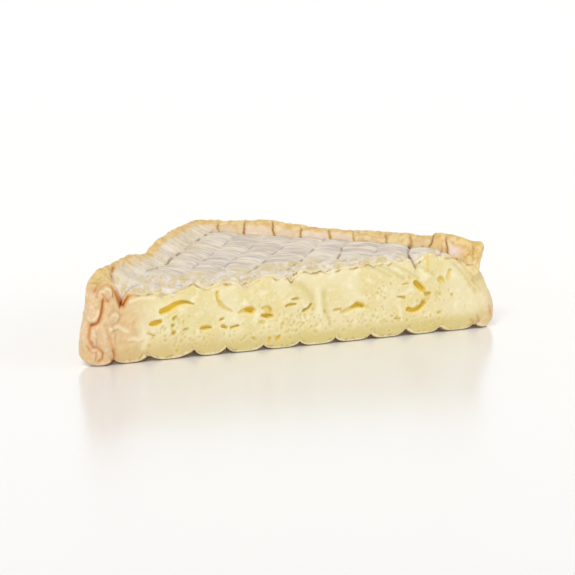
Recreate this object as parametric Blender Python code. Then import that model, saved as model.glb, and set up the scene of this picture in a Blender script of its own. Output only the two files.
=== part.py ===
"""Half of a square, washed-rind soft cheese, cut from corner to corner, as one solid.

Metres, +Z up, standing on Z = 0. Seen from above, the uncut corner of the square is at +Y,
the cut face looks to -Y, and the two cut corners lie at -X and +X.
"""

import math

import bmesh
import bpy
import numpy as np

# Plan at the widest height. The knife passed a little in front of the square's centre, so it
# left a short stretch of the square's two front sides on the half, one at each end of the cut.
SIDE = 0.113
FRONT_LEFT_EXTRA = 0.0001
CUT_OFFSET = 0.0047
CUT_TURN = math.radians(-0.5)
CUT_BOW = 0.0005
BACK_RADIUS = 0.0120
LEFT_RADIUS = 0.0042
CUT_START_RADIUS = 0.0026
CUT_END_RADIUS = 0.0036
RIGHT_RADIUS = 0.0050

# Heights of the rim's crest and of the sunken top inside it
RIM_HEIGHT = 0.0312
LEFT_RIM_HEIGHT = 0.0302
RIM_WIDTH = 0.0062
LEFT_RIM_WIDTH = 0.0080
LEFT_SKIRT_WIDTH = 0.0180
LEFT_SKIRT_SHARE = 0.38
SUNKEN_HIGH = 0.0288
SUNKEN_DROP = 0.0046
SUNKEN_DROP_END = 0.062
CUT_TOP_LEFT = 0.0227
CUT_TOP_BAND = 0.026

# Side walls: how far they stand in from the widest outline
RIM_INSET = 0.0045
LEFT_RIM_INSET = 0.0024
FRONT_LEFT_RIM_INSET = 0.0070
SHOULDER_START = 0.86
FRONT_LEFT_SHOULDER_START = 0.70
RIGHT_LEAN = 0.0030
RIGHT_WAIST = 0.0022
LEFT_LEAN = 0.0017
LEFT_WAIST = 0.0004
FOOT_INSET = 0.0032
FOOT_SHARE = 0.15
CUT_BULGE = 0.0009
EDGE_ROUNDING = 0.0005

# What the draining mat printed: cells on the underside, creases on top
MAT_CELL = 0.00938
MAT_DEPTH = 0.0017
MAT_FLAT = 0.42
MAT_PHASE = 0.0003
CREASE_PITCH = 0.0105
CREASE_PHASE = 0.0845
CREASE_DEPTH = 0.0009
CREASE_WIDTH = 0.0017

# Mesh density: columns along each side of the triangle, rows up the walls
COLUMNS = 53
ROWS = 9
COLUMN_CROWDING = 0.35
ROW_CROWDING = 0.60

# Holes in the cut face: place along X, height, length, height of the hole, depth, slope in degrees
EYES = (
    (-0.0478, 0.0172, 0.0070, 0.0028, 0.0030, 25),
    (-0.0433, 0.0184, 0.0086, 0.0019, 0.0026, -6),
    (-0.0528, 0.0128, 0.0039, 0.0022, 0.0024, 14),
    (-0.0462, 0.0087, 0.0019, 0.0016, 0.0018, 0),
    (-0.0348, 0.0095, 0.0034, 0.0010, 0.0016, 0),
    (-0.0200, 0.0142, 0.0060, 0.0028, 0.0030, 12),
    (-0.0126, 0.0139, 0.0046, 0.0038, 0.0028, -8),
    (-0.0120, 0.0117, 0.0048, 0.0018, 0.0030, 0),
    (-0.0038, 0.0149, 0.0044, 0.0011, 0.0020, 6),
    (0.0027, 0.0131, 0.0034, 0.0013, 0.0020, 28),
    (0.0219, 0.0127, 0.0048, 0.0023, 0.0028, -4),
    (0.0156, 0.0116, 0.0060, 0.0010, 0.0018, 4),
    (0.0451, 0.0174, 0.0049, 0.0023, 0.0030, -45),
    (0.0483, 0.0146, 0.0019, 0.0018, 0.0020, 0),
    (0.0424, 0.0096, 0.0048, 0.0015, 0.0024, 2),
    (0.0462, 0.0107, 0.0032, 0.0016, 0.0024, 42),
    (0.0536, 0.0193, 0.0024, 0.0024, 0.0016, 0),
    (-0.0083, 0.0037, 0.0020, 0.0017, 0.0018, 0),
)
EYE_SEGMENTS = 10
EYE_RINGS = 6

PASTE_COLOUR = (0.83, 0.74, 0.42, 1.0)
PASTE_ROUGHNESS = 0.45


def bump(value, centre, width):
    return np.exp(-(((value - centre) / width) ** 2))


def step(value, start, end):
    share = np.clip((value - start) / (end - start), 0.0, 1.0)
    return share * share * (3.0 - 2.0 * share)


def direction(degrees):
    return np.array([math.cos(math.radians(degrees)), math.sin(math.radians(degrees))])


RIGHT_NORMAL = direction(45)
LEFT_NORMAL = direction(135)
FRONT_LEFT_NORMAL = direction(225)
FRONT_RIGHT_NORMAL = direction(315)
CUT_NORMAL = direction(270 + math.degrees(CUT_TURN))


def meeting_point(first_normal, first_reach, second_normal, second_reach):
    """Where two straight sides of the plan cross, each given by its normal and its reach."""
    return np.linalg.solve(np.array([first_normal, second_normal]), [first_reach, second_reach])


def round_corner(corner, into_normal, out_normal, radius, count=25):
    """Points and outward normals of the arc that rounds one corner of the plan."""
    turn = math.atan2(
        into_normal[0] * out_normal[1] - into_normal[1] * out_normal[0], into_normal @ out_normal
    )
    centre = corner - (into_normal + out_normal) * radius / (1.0 + math.cos(turn))
    start = math.atan2(into_normal[1], into_normal[0])
    angles = start + turn * np.linspace(0.0, 1.0, count)
    normals = np.stack([np.cos(angles), np.sin(angles)], axis=1)
    return centre + normals * radius, normals


def rind_insets(share):
    """Insets of the right, left and front left sides at a share of the wall's height."""

    def profile(rim_inset, shoulder_start, lean, waist):
        shoulder = np.clip((share - shoulder_start) / (1.0 - shoulder_start), 0.0, 1.0)
        foot = np.clip((FOOT_SHARE - share) / FOOT_SHARE, 0.0, 1.0)
        inset = lean * step(share, 0.24, 0.72) + waist * bump(share, 0.74, 0.09)
        inset = inset + (rim_inset - lean) * (1.0 - np.sqrt(1.0 - shoulder**2))
        return inset + FOOT_INSET * (1.0 - np.sqrt(1.0 - foot**2))

    right = profile(RIM_INSET, SHOULDER_START, RIGHT_LEAN, RIGHT_WAIST)
    left = profile(LEFT_RIM_INSET, SHOULDER_START, LEFT_LEAN, LEFT_WAIST)
    front_left = profile(FRONT_LEFT_RIM_INSET, FRONT_LEFT_SHOULDER_START, LEFT_LEAN, 0.0)
    return right, left, front_left


def cut_inset(share):
    """How far the cut face stands behind the knife's line: a slight bulge, softened edges."""
    return EDGE_ROUNDING * abs(2.0 * share - 1.0) ** 10 - CUT_BULGE * np.sin(math.pi * share)


class Section:
    """The level outline at a share of the walls' height, walked from the back corner past the
    left corner and along the cut to the right corner, then home along the right side."""

    def __init__(self, share):
        right, left, front_left = rind_insets(share)
        reaches = (
            (RIGHT_NORMAL, SIDE / 2 - right),
            (LEFT_NORMAL, SIDE / 2 - left),
            (FRONT_LEFT_NORMAL, SIDE / 2 + FRONT_LEFT_EXTRA - front_left),
            (CUT_NORMAL, CUT_OFFSET - cut_inset(share)),
            (FRONT_RIGHT_NORMAL, SIDE / 2 - right),
        )
        radii = (
            BACK_RADIUS - max(right, left),
            LEFT_RADIUS - 0.2 * front_left,
            CUT_START_RADIUS,
            CUT_END_RADIUS,
            RIGHT_RADIUS - 0.5 * right,
        )
        arcs = []
        for index, radius in enumerate(radii):
            into = reaches[index]
            out = reaches[(index + 1) % len(reaches)]
            corner = meeting_point(*into, *out)
            arcs.append(round_corner(corner, into[0], out[0], radius))
        back_points, back_normals = arcs[0]
        middle = len(back_points) // 2
        parts = [(back_points[middle:], back_normals[middle:])] + arcs[1:]
        parts.append((back_points[: middle + 1], back_normals[: middle + 1]))
        self.points = np.concatenate([points for points, normals in parts])
        self.normals = np.concatenate([normals for points, normals in parts])
        lengths = np.hypot(*np.diff(self.points, axis=0).T)
        self.walked = np.concatenate([[0.0], np.cumsum(lengths)])
        starts = np.cumsum([len(points) for points, normals in parts])
        self.left_tip = self.walked[starts[0] + middle]
        self.right_tip = self.walked[starts[3] + middle]

    def spans(self):
        """Where each wall begins and ends along the walk: left side, right side, cut face."""
        return {
            "left": (0.0, self.left_tip),
            "right": (self.walked[-1], self.right_tip),
            "cut": (self.left_tip, self.right_tip),
        }

    def at(self, wall, along):
        """Points and outward normals at shares along one wall, from its first corner."""
        begin, finish = self.spans()[wall]
        distance = begin + (finish - begin) * along
        place = [np.interp(distance, self.walked, self.points[:, axis]) for axis in (0, 1)]
        normal = [np.interp(distance, self.walked, self.normals[:, axis]) for axis in (0, 1)]
        place = np.stack(place, axis=-1)
        normal = np.stack(normal, axis=-1)
        if wall == "cut":
            place = place + CUT_NORMAL * (CUT_BOW * np.sin(math.pi * along) ** 2)[..., None]
        return place, normal / np.linalg.norm(normal, axis=-1, keepdims=True)


def behind_cut(x, y):
    """Distance behind the knife's line."""
    return CUT_OFFSET - (x * CUT_NORMAL[0] + y * CUT_NORMAL[1])


def from_side(x, y, normal, reach):
    return reach - (x * normal[0] + y * normal[1])


def inside_crest(x, y):
    """Distance inwards from the crest of the rim, which follows the rounded corners."""
    right = from_side(x, y, RIGHT_NORMAL, SIDE / 2 - RIM_INSET)
    left = from_side(x, y, LEFT_NORMAL, SIDE / 2 - LEFT_RIM_INSET)
    front_left_reach = SIDE / 2 + FRONT_LEFT_EXTRA - FRONT_LEFT_RIM_INSET
    front_left = from_side(x, y, FRONT_LEFT_NORMAL, front_left_reach)
    front_right = from_side(x, y, FRONT_RIGHT_NORMAL, SIDE / 2 - RIM_INSET)

    def rounded(first, second, radius):
        beyond = np.hypot(np.maximum(radius - first, 0.0), np.maximum(radius - second, 0.0))
        return np.where(beyond > 0.0, radius - beyond, np.minimum(first, second))

    back_corner = rounded(right, left, BACK_RADIUS - RIM_INSET)
    left_corner = rounded(left, front_left, LEFT_RADIUS - 0.2 * FRONT_LEFT_RIM_INSET)
    right_corner = rounded(right, front_right, RIGHT_RADIUS - 0.5 * RIM_INSET)
    return np.minimum(np.minimum(back_corner, left_corner), right_corner)


def leg_coordinates(x, y):
    """Distances from the left side and from the right side of the square."""
    from_left = from_side(x, y, LEFT_NORMAL, SIDE / 2)
    from_right = from_side(x, y, RIGHT_NORMAL, SIDE / 2)
    return from_left, from_right


def crest_height(x, y):
    """Height of the rim's crest: one dent on the left side, lower at both cut corners."""
    from_left, from_right = leg_coordinates(x, y)
    left = LEFT_RIM_HEIGHT + 0.0020 * bump(from_right, 0.025, 0.026)
    left = left - 0.0024 * bump(from_right, 0.0580, 0.0080)
    left = left - 0.0021 * step(from_right + 0.6 * from_left, 0.096, 0.118)
    from_front = from_side(x, y, FRONT_LEFT_NORMAL, SIDE / 2)
    left = left - 0.0023 * (1.0 - step(from_front, 0.004, 0.017))
    right = RIM_HEIGHT + 0.0014 * bump(from_left, 0.027, 0.012)
    right = right - 0.0016 * step(from_left, 0.098, 0.110)
    right = right - 0.0060 * (1.0 - step(behind_cut(x, y), 0.0, 0.0055)) * step(x, 0.055, 0.065)
    return left + (right - left) * step(from_left - from_right, -0.012, 0.012)


def sunken_height(x, y):
    """Height of the sunken top inside the rim, falling from the right side towards the left."""
    from_right = leg_coordinates(x, y)[1]
    inland = SUNKEN_HIGH - SUNKEN_DROP * step(from_right, 0.0, SUNKEN_DROP_END)
    at_cut = CUT_TOP_LEFT + 0.0014 * step(x, -0.048, -0.020) + 0.0024 * step(x, -0.004, 0.008)
    at_cut = at_cut - 0.0042 * step(x, 0.056, 0.069)
    return at_cut + (inland - at_cut) * step(behind_cut(x, y), 0.0, CUT_TOP_BAND)


def crease_depth(from_left, from_right):
    """Depth of the creases that run across the top, parallel to the left side."""
    wander = 0.0007 * np.sin(from_right / 0.0071) + 0.0005 * np.sin(from_right / 0.0029 + 1.0)
    cells = (from_left - CREASE_PHASE + wander) / CREASE_PITCH
    away = (cells - np.round(cells)) * CREASE_PITCH
    strength = 0.65 + 0.35 * np.sin(np.round(cells) * 2.4 + from_right / 0.011)
    return CREASE_DEPTH * strength * bump(away, 0.0, CREASE_WIDTH)


def rim_share(x, y):
    """1 on the rim's crest, 0 on the sunken top: a short slope at the right, a long one at the
    left."""

    def slope(width):
        return 0.5 + 0.5 * np.cos(math.pi * np.clip(inside_crest(x, y) / width, 0.0, 1.0))

    from_left, from_right = leg_coordinates(x, y)
    left = slope(LEFT_RIM_WIDTH)
    left = left + LEFT_SKIRT_SHARE * (slope(LEFT_SKIRT_WIDTH) - left)
    right = slope(RIM_WIDTH)
    return left + (right - left) * step(from_left - from_right, -0.012, 0.012)


def top_height(x, y):
    """Height of the upper surface anywhere on the plan."""
    from_left, from_right = leg_coordinates(x, y)
    rim = rim_share(x, y)
    sunken = sunken_height(x, y)
    lumps = 0.0004 * np.sin(x / 0.0047 + 0.8) * np.sin(y / 0.0039)
    creases = crease_depth(from_left, from_right) * (1.0 - 0.7 * rim)
    notch = 0.0022 * bump(x, -0.0638, 0.0020) * bump(behind_cut(x, y), 0.0, 0.0030)
    return sunken + (crest_height(x, y) - sunken) * rim + lumps - creases - notch


def mat_groove(distance):
    """0 on the flat of a mat cell, 1 in the groove between two cells."""
    arch = 1.0 - np.abs(np.sin(math.pi * distance / MAT_CELL))
    return np.clip((arch - MAT_FLAT) / (1.0 - MAT_FLAT), 0.0, 1.0)


def bottom_height(x, y):
    """Height of the underside: square pillows that meet in grooves."""
    behind = behind_cut(x, y)
    first = (x - MAT_PHASE - behind) / math.sqrt(2)
    second = (x - MAT_PHASE + behind) / math.sqrt(2)
    return MAT_DEPTH * np.maximum(mat_groove(first), mat_groove(second))


def left_fold(x, height):
    """How far the folded rind at the cut's left end stands in: grooves, cracks and lobes."""
    groove = 0.0013 * bump(x, -0.0675, 0.0012) * bump(height, 0.0050, 0.0045)
    crack = 0.0013 * bump(x, -0.0725, 0.0011) * bump(height, 0.0180, 0.0045)
    shelf = 0.0012 * bump(height, 0.0140, 0.0012) * (1.0 - step(x, -0.0755, -0.0720))
    strip = 0.0012 * bump(x, -0.0725, 0.0036)
    return groove + crack + shelf - strip


def wall_points(sections, wall, along, row):
    """Points of one wall, at shares along it and at rows up it."""
    low = sections[0].at(wall, along)[0]
    high = sections[-1].at(wall, along)[0]
    low_height = bottom_height(low[:, 0], low[:, 1])
    high_height = top_height(high[:, 0], high[:, 1])
    points = np.zeros((len(along), 3))
    for index, section in enumerate(sections):
        here = row == index
        share = crowd(index / (len(sections) - 1), ROW_CROWDING)
        place, normal = section.at(wall, along[here])
        height = low_height[here] + share * (high_height[here] - low_height[here])
        inwards = 0.0004 * np.sin(share * 6.0 + place[:, 0] / 0.0043) * np.sin(place[:, 1] / 0.0061)
        if wall == "cut":
            inwards = left_fold(place[:, 0], height)
        inwards = inwards * math.sqrt(max(math.sin(math.pi * share), 0.0))
        points[here, :2] = place - normal * inwards[:, None]
        points[here, 2] = height
    return points


def crowd(share, amount):
    """Moves evenly spaced shares towards both ends."""
    return share - amount * np.sin(2.0 * math.pi * share) / (2.0 * math.pi)


def cap_plan(section, back, left, right):
    """Plan positions inside one level outline, from shares towards its three corners."""
    corners = {
        "back": section.at("left", np.zeros(1))[0][0],
        "left": section.at("left", np.ones(1))[0][0],
        "right": section.at("right", np.ones(1))[0][0],
    }

    def pull(wall, first, last, toward_last, toward_first):
        """How far the wall leaves the straight line between its corners, at the share along it."""
        total = toward_first + toward_last
        along = np.where(total > 0.0, toward_last / np.maximum(total, 1e-12), 0.0)
        straight = corners[first] + (corners[last] - corners[first]) * along[:, None]
        return (section.at(wall, along)[0] - straight) * (total**2)[:, None]

    plan = sum(corners[name] * share[:, None] for name, share in
               (("back", back), ("left", left), ("right", right)))
    plan = plan + pull("left", "back", "left", left, back)
    plan = plan + pull("right", "back", "right", right, back)
    return plan + pull("cut", "left", "right", right, left)


def triangular_prism():
    """A three-sided prism, cut into columns and rows: the cheese before it is shaped."""
    mesh = bmesh.new()
    bmesh.ops.create_cone(mesh, segments=3, cap_ends=True, radius1=1.0, radius2=1.0, depth=1.0)
    level = [edge for edge in mesh.edges if abs(edge.verts[0].co.z - edge.verts[1].co.z) < 0.5]
    bmesh.ops.subdivide_edges(mesh, edges=level, cuts=COLUMNS - 1, use_grid_fill=True)
    upright = [edge for edge in mesh.edges if abs(edge.verts[0].co.z - edge.verts[1].co.z) > 0.5]
    bmesh.ops.subdivide_edges(mesh, edges=upright, cuts=ROWS - 1, use_grid_fill=True)
    return mesh


def corner_shares(raw):
    """Shares of each point of the prism towards its back, left and right upright edges."""
    angles = np.pi / 2 + np.arange(3) * 2.0 * np.pi / 3.0
    corners = np.stack([np.cos(angles), np.sin(angles), np.ones(3)])
    plan = np.vstack([raw[:, 0], raw[:, 1], np.ones(len(raw))])
    return np.clip(np.linalg.solve(corners, plan), 0.0, 1.0)


def shape_vertices(mesh):
    """Moves every vertex of the prism to its place on the cheese."""
    raw = np.array([vertex.co[:] for vertex in mesh.verts])
    back, left, right = corner_shares(raw)
    left = crowd(left, COLUMN_CROWDING)
    right = crowd(right, COLUMN_CROWDING)
    back = np.maximum(1.0 - left - right, 0.0)
    row = np.rint((raw[:, 2] + 0.5) * ROWS).astype(int)
    sections = [Section(crowd(index / ROWS, ROW_CROWDING)) for index in range(ROWS + 1)]
    places = np.zeros_like(raw)
    near = 1e-4
    on_left = right < near
    on_right = (left < near) & ~on_left
    on_cut = (back < near) & ~on_left & ~on_right
    places[on_left] = wall_points(sections, "left", left[on_left], row[on_left])
    places[on_right] = wall_points(sections, "right", right[on_right], row[on_right])
    places[on_cut] = wall_points(sections, "cut", right[on_cut], row[on_cut])
    inner = ~(on_left | on_right | on_cut)
    for level, surface in ((ROWS, top_height), (0, bottom_height)):
        cap = inner & (row == level)
        plan = cap_plan(sections[level], back[cap], left[cap], right[cap])
        places[cap, :2] = plan
        places[cap, 2] = surface(plan[:, 0], plan[:, 1])
    for vertex, place in zip(mesh.verts, places):
        vertex.co = place


def centre_on_origin(mesh):
    """Puts the middle of the cheese's plan on the origin, and returns how far it moved."""
    places = np.array([vertex.co[:] for vertex in mesh.verts])
    middle = (places.min(axis=0) + places.max(axis=0)) / 2
    shift = (-middle[0], -middle[1], 0.0)
    bmesh.ops.translate(mesh, verts=mesh.verts[:], vec=shift)
    return shift


def half_cheese(collection, material):
    """The half cheese without its holes, and how far its plan was moved."""
    mesh = triangular_prism()
    shape_vertices(mesh)
    shift = centre_on_origin(mesh)
    bmesh.ops.triangulate(mesh, faces=mesh.faces[:])
    bmesh.ops.recalc_face_normals(mesh, faces=mesh.faces[:])
    data = bpy.data.meshes.new("cheese")
    mesh.to_mesh(data)
    mesh.free()
    data.materials.append(material)
    cheese = bpy.data.objects.new("cheese", data)
    collection.objects.link(cheese)
    return cheese, shift


def cut_face_y(x):
    """Y of the cut face at half height."""
    line = (CUT_OFFSET - x * CUT_NORMAL[0]) / CUT_NORMAL[1]
    return line - CUT_BULGE - CUT_BOW * math.cos(math.pi * x / SIDE / math.sqrt(2)) ** 2


def eye_cutter(name, collection, shift, place, height, length, tall, depth, slope):
    """A flattened ball, half sunk in the cut face, that hollows one hole."""
    mesh = bmesh.new()
    bmesh.ops.create_uvsphere(
        mesh, u_segments=EYE_SEGMENTS, v_segments=EYE_RINGS, radius=1.0
    )
    data = bpy.data.meshes.new(name)
    mesh.to_mesh(data)
    mesh.free()
    cutter = bpy.data.objects.new(name, data)
    cutter.location = (place + shift[0], cut_face_y(place) + shift[1], height)
    cutter.rotation_euler = (0.0, -math.radians(slope), 0.0)
    cutter.scale = (length / 2 * 1.1, depth, tall / 2 * 1.1)
    cutter.hide_render = True
    cutter.display_type = "WIRE"
    collection.objects.link(cutter)


def paste_material():
    material = bpy.data.materials.new("cheese")
    material.use_nodes = True
    shader = material.node_tree.nodes["Principled BSDF"]
    shader.inputs["Base Color"].default_value = PASTE_COLOUR
    shader.inputs["Roughness"].default_value = PASTE_ROUGHNESS
    shader.inputs["Metallic"].default_value = 0.0
    return material


def new_collection(name):
    collection = bpy.data.collections.new(name)
    bpy.context.scene.collection.children.link(collection)
    return collection


def main():
    for old in list(bpy.data.objects):
        bpy.data.objects.remove(old)
    parts = new_collection("half_cheese")
    cutters = new_collection("cutters")
    cheese, shift = half_cheese(parts, paste_material())
    for index, eye in enumerate(EYES):
        eye_cutter(f"eye_cutter_{index + 1}", cutters, shift, *eye)
    holes = cheese.modifiers.new("eyes", "BOOLEAN")
    holes.operation = "DIFFERENCE"
    holes.operand_type = "COLLECTION"
    holes.collection = cutters
    holes.solver = "EXACT"


main()
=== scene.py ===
"""Looks of the half cheese: one fine closed mesh stands for the plain solid.

Lengths are millimetres in the plan's own frame, the same as in the part's source, until the
mesh is made; Blender's own objects are in metres.
"""
import math

import bpy
import numpy as np
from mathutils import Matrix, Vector, kdtree
from mathutils.geometry import delaunay_2d_cdt


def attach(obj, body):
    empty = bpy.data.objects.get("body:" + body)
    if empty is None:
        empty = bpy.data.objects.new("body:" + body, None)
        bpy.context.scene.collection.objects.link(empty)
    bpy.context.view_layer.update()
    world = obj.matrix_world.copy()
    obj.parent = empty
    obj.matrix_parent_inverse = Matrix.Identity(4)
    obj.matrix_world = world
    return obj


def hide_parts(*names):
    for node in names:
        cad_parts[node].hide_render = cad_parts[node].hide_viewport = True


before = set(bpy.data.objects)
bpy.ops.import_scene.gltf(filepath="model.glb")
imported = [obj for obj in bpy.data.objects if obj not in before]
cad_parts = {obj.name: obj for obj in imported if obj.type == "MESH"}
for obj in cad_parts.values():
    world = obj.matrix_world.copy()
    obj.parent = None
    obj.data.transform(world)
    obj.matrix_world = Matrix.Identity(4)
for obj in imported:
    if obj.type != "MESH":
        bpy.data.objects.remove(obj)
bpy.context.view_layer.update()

MM = 0.001
PLAN_SHIFT = np.array([0.2036, -34.4137, 0.0])

# Plan, heights and walls, as in the part's source
SIDE = 113.0
FRONT_LEFT_EXTRA = 0.1
CUT_OFFSET = 4.7
CUT_TURN = math.radians(-0.5)
CUT_BOW = 0.5
BACK_RADIUS = 12.0
LEFT_RADIUS = 4.2
CUT_START_RADIUS = 2.6
CUT_END_RADIUS = 3.6
RIGHT_RADIUS = 5.0
RIM_HEIGHT = 31.2
LEFT_RIM_HEIGHT = 30.2
RIM_WIDTH = 6.2
LEFT_RIM_WIDTH = 8.0
LEFT_SKIRT_WIDTH = 18.0
LEFT_SKIRT_SHARE = 0.38
SUNKEN_HIGH = 28.8
SUNKEN_DROP = 4.6
SUNKEN_DROP_END = 62.0
CUT_TOP_LEFT = 22.7
CUT_TOP_BAND = 26.0
RIM_INSET = 4.5
LEFT_RIM_INSET = 2.4
FRONT_LEFT_RIM_INSET = 7.0
SHOULDER_START = 0.86
FRONT_LEFT_SHOULDER_START = 0.70
RIGHT_LEAN = 3.0
RIGHT_WAIST = 2.2
LEFT_LEAN = 1.7
LEFT_WAIST = 0.4
FOOT_INSET = 3.2
FOOT_SHARE = 0.15
CUT_BULGE = 0.9
EDGE_ROUNDING = 0.5
MAT_CELL = 9.38
MAT_PHASE = 0.3
LEAN_SPAN = (0.24, 0.72)
WAIST_SPAN = (0.74, 0.09)
SIDE_BLEND = 12.0
# Points of each rounded corner; the cut begins and ends in the middle of one
ARC_POINTS = 25

# Mesh density
CUT_CELL = 0.36
LEFT_END_CELL = 0.26
LEFT_END_LENGTH = 22.0
SIDE_CELL = 0.95
TIP_CELL = 0.42
TIP_LENGTH = 9.0
ROWS = 70
ROW_CROWDING = 0.35
TOP_CELL_ACROSS = 0.37
TOP_CELL_ALONG = 0.52
BOTTOM_CELL = 1.0
CAP_MARGIN = 0.30
CAP_REACH = 1.45 * SIDE
CAP_TOLERANCE = 1e-7

# What each vertex carries for the material, from 0 to 1
MASKS = (
    "paste", "pit_shade", "pore", "red", "peach", "low", "skin", "side", "top", "pale", "seam_shade_and_specks", "crust", "under_shade",
    "tan", "slope", "worn", "bare", "flake", "slit", "crack_shade", "crease", "rib", "notch_shade", "gold",
)

# Noises of the surface: height, cell width, cell length, seed, octaves
CREASE_WANDER = (0.6, 5.0, 1.0, 11, 3)
CREASE_DASHES = (1.0, 3.4, 1.0, 12, 2)
CRACK_WOBBLE = (0.40, 1.6, 1.0, 21, 2)
WORN_EDGE = (5.0, 6.0, 2.4, 31, 3)
WORN_EDGE_FINE = (2.0, 2.0, 1.2, 34, 2)
TORN_EDGE = (3.0, 4.0, 1.0, 41, 3)
CRUMBS_FINE = (1.0, 1.1, 1.6, 42, 2)
CRUMBS = (1.0, 3.0, 3.0, 44, 2)
FLAKES = (1.0, 1.7, 5.0, 45, 2)
CRUMPLES = (0.60, 2.0, 6.0, 46, 3)
RIB_BENDS = (0.5, 7.0, 3.0, 51, 2)
RIB_BREAKS = (0.5, 6.0, 3.0, 52, 2)
STREAKS = (1.0, 6.0, 0.62, 53, 2)
BROAD_STREAKS = (0.45, 9.0, 2.6, 54, 1)
TOP_LUMPS = (0.30, 6.0, 4.0, 61, 2)
TOP_GRAIN = (0.10, 0.9, 0.7, 62, 2)
RAGGED_EDGES = (1.0, 2.0, 3.2, 63, 3)
CREST_GRAIN = (0.42, 1.2, 1.2, 64, 2)
CREST_LUMPS = (0.16, 4.0, 4.0, 65, 1)
EDGE_TREMBLE = (0.35, 2.8, 1.0, 66, 2)
FOOT_DASHES = (1.0, 2.4, 3.0, 67, 2)
SIDE_LUMPS = (0.45, 7.0, 7.0, 71, 2)
SIDE_WRINKLES = (0.24, 5.0, 5.0, 72, 2)
SIDE_GRAIN = (0.22, 1.8, 1.8, 73, 3)
FACE_WAVES = (0.26, 6.0, 5.0, 81, 2)
FACE_GRAIN = (0.09, 1.2, 1.6, 82, 2)
END_LUMPS = (0.30, 2.6, 2.4, 83, 2)
KNIFE_DRAG = (0.14, 5.0, 0.8, 84, 2)
SEAM_BREAKS = (1.0, 3.0, 1.0, 85, 3)
SKIN_EDGE_BREAKS = (0.5, 1.6, 1.0, 86, 2)
SEAM_WANDER = (0.5, 2.2, 1.0, 87, 2)
LIP_WANDER = (0.5, 1.4, 1.0, 88, 2)
DOT_BREAKS = (1.0, 0.9, 1.0, 89, 2)
FOLD_PATCHES = (0.20, 1.4, 1.4, 91, 1)
TOP_FOLD_PATCHES = (0.4, 1.3, 1.3, 92, 1)
GOLD_PATCHES = (0.6, 2.0, 2.0, 93, 2)

HASH_AXES = (np.uint32(374761393), np.uint32(668265263), np.uint32(2246822519))
HASH_SEED = np.uint32(3266489917)
HASH_MIX = np.uint32(1274126177)


def bump(value, centre, width):
    """1 at the centre, fading to both sides."""
    return np.exp(-(((value - centre) / width) ** 2))


def bumps(value, table, start=0.0):
    """Sum of bumps, each given by its centre, its width and its rise."""
    return sum((rise * bump(value, centre, width) for centre, width, rise in table), start)


def clipped(value):
    return np.clip(value, 0.0, 1.0)


def step(value, start, end):
    """0 up to the start, 1 from the end on, with a smooth rise between them."""
    share = clipped((value - start) / (end - start))
    return share * share * (3.0 - 2.0 * share)


def fall(value, start, end):
    """The other way round: 1 up to the start, 0 from the end on."""
    return 1.0 - step(value, start, end)


def slope(distance, width):
    """A smooth slope from 1 at no distance to 0 at the given width."""
    return 0.5 + 0.5 * np.cos(math.pi * clipped(distance / width))


def lattice(x, y, z, seed):
    """A repeatable random number from 0 to 1 for each lattice point."""
    with np.errstate(over="ignore"):
        mixed = np.uint32(seed) * HASH_SEED
        for value, factor in zip((x, y, z), HASH_AXES):
            mixed = mixed + value.astype(np.int64).astype(np.uint32) * factor
        mixed = (mixed ^ (mixed >> np.uint32(13))) * HASH_MIX
        mixed = mixed ^ (mixed >> np.uint32(16))
    return mixed.astype(np.float64) / 2.0**32


def noise(x, y, z, seed, octaves):
    """Smooth noise from -1 to 1 with cells one unit wide."""
    total = np.zeros(np.broadcast(x, y, z).shape)
    weight = 1.0
    weights = 0.0
    for octave in range(octaves):
        scaled = [np.broadcast_to(value, total.shape) * 2.0**octave for value in (x, y, z)]
        low = [np.floor(value) for value in scaled]
        share = [step(value - floor, 0.0, 1.0) for value, floor in zip(scaled, low)]
        value = np.zeros(total.shape)
        for bits in np.ndindex(2, 2, 2):
            part = lattice(*(floor + bit for floor, bit in zip(low, bits)), seed + octave)
            for axis, bit in enumerate(bits):
                part = part * (share[axis] if bit else 1.0 - share[axis])
            value = value + part
        total = total + weight * (2.0 * value - 1.0)
        weights += weight
        weight *= 0.5
    return total / weights


def texture(row, x, y, z=0.0):
    """One of the noises listed above, over two or three coordinates."""
    height, wide, tall, seed, octaves = row
    return height * noise(x / wide, y / tall, z, seed, octaves)


def direction(degrees):
    return np.array([math.cos(math.radians(degrees)), math.sin(math.radians(degrees))])


RIGHT_NORMAL = direction(45)
LEFT_NORMAL = direction(135)
FRONT_LEFT_NORMAL = direction(225)
FRONT_RIGHT_NORMAL = direction(315)
CUT_NORMAL = direction(270 + math.degrees(CUT_TURN))


def meeting_point(first_normal, first_reach, second_normal, second_reach):
    """Where two straight sides of the plan cross, each given by its normal and its reach."""
    return np.linalg.solve(np.array([first_normal, second_normal]), [first_reach, second_reach])


def round_corner(corner, into_normal, out_normal, radius):
    """The arc that rounds one corner of the plan: x, y and the outward normal of each point."""
    turn = math.atan2(
        into_normal[0] * out_normal[1] - into_normal[1] * out_normal[0], into_normal @ out_normal
    )
    centre = corner - (into_normal + out_normal) * radius / (1.0 + math.cos(turn))
    start = math.atan2(into_normal[1], into_normal[0])
    angles = start + turn * np.linspace(0.0, 1.0, ARC_POINTS)
    normals = np.stack([np.cos(angles), np.sin(angles)], axis=1)
    return np.hstack([centre + normals * radius, normals])


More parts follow.
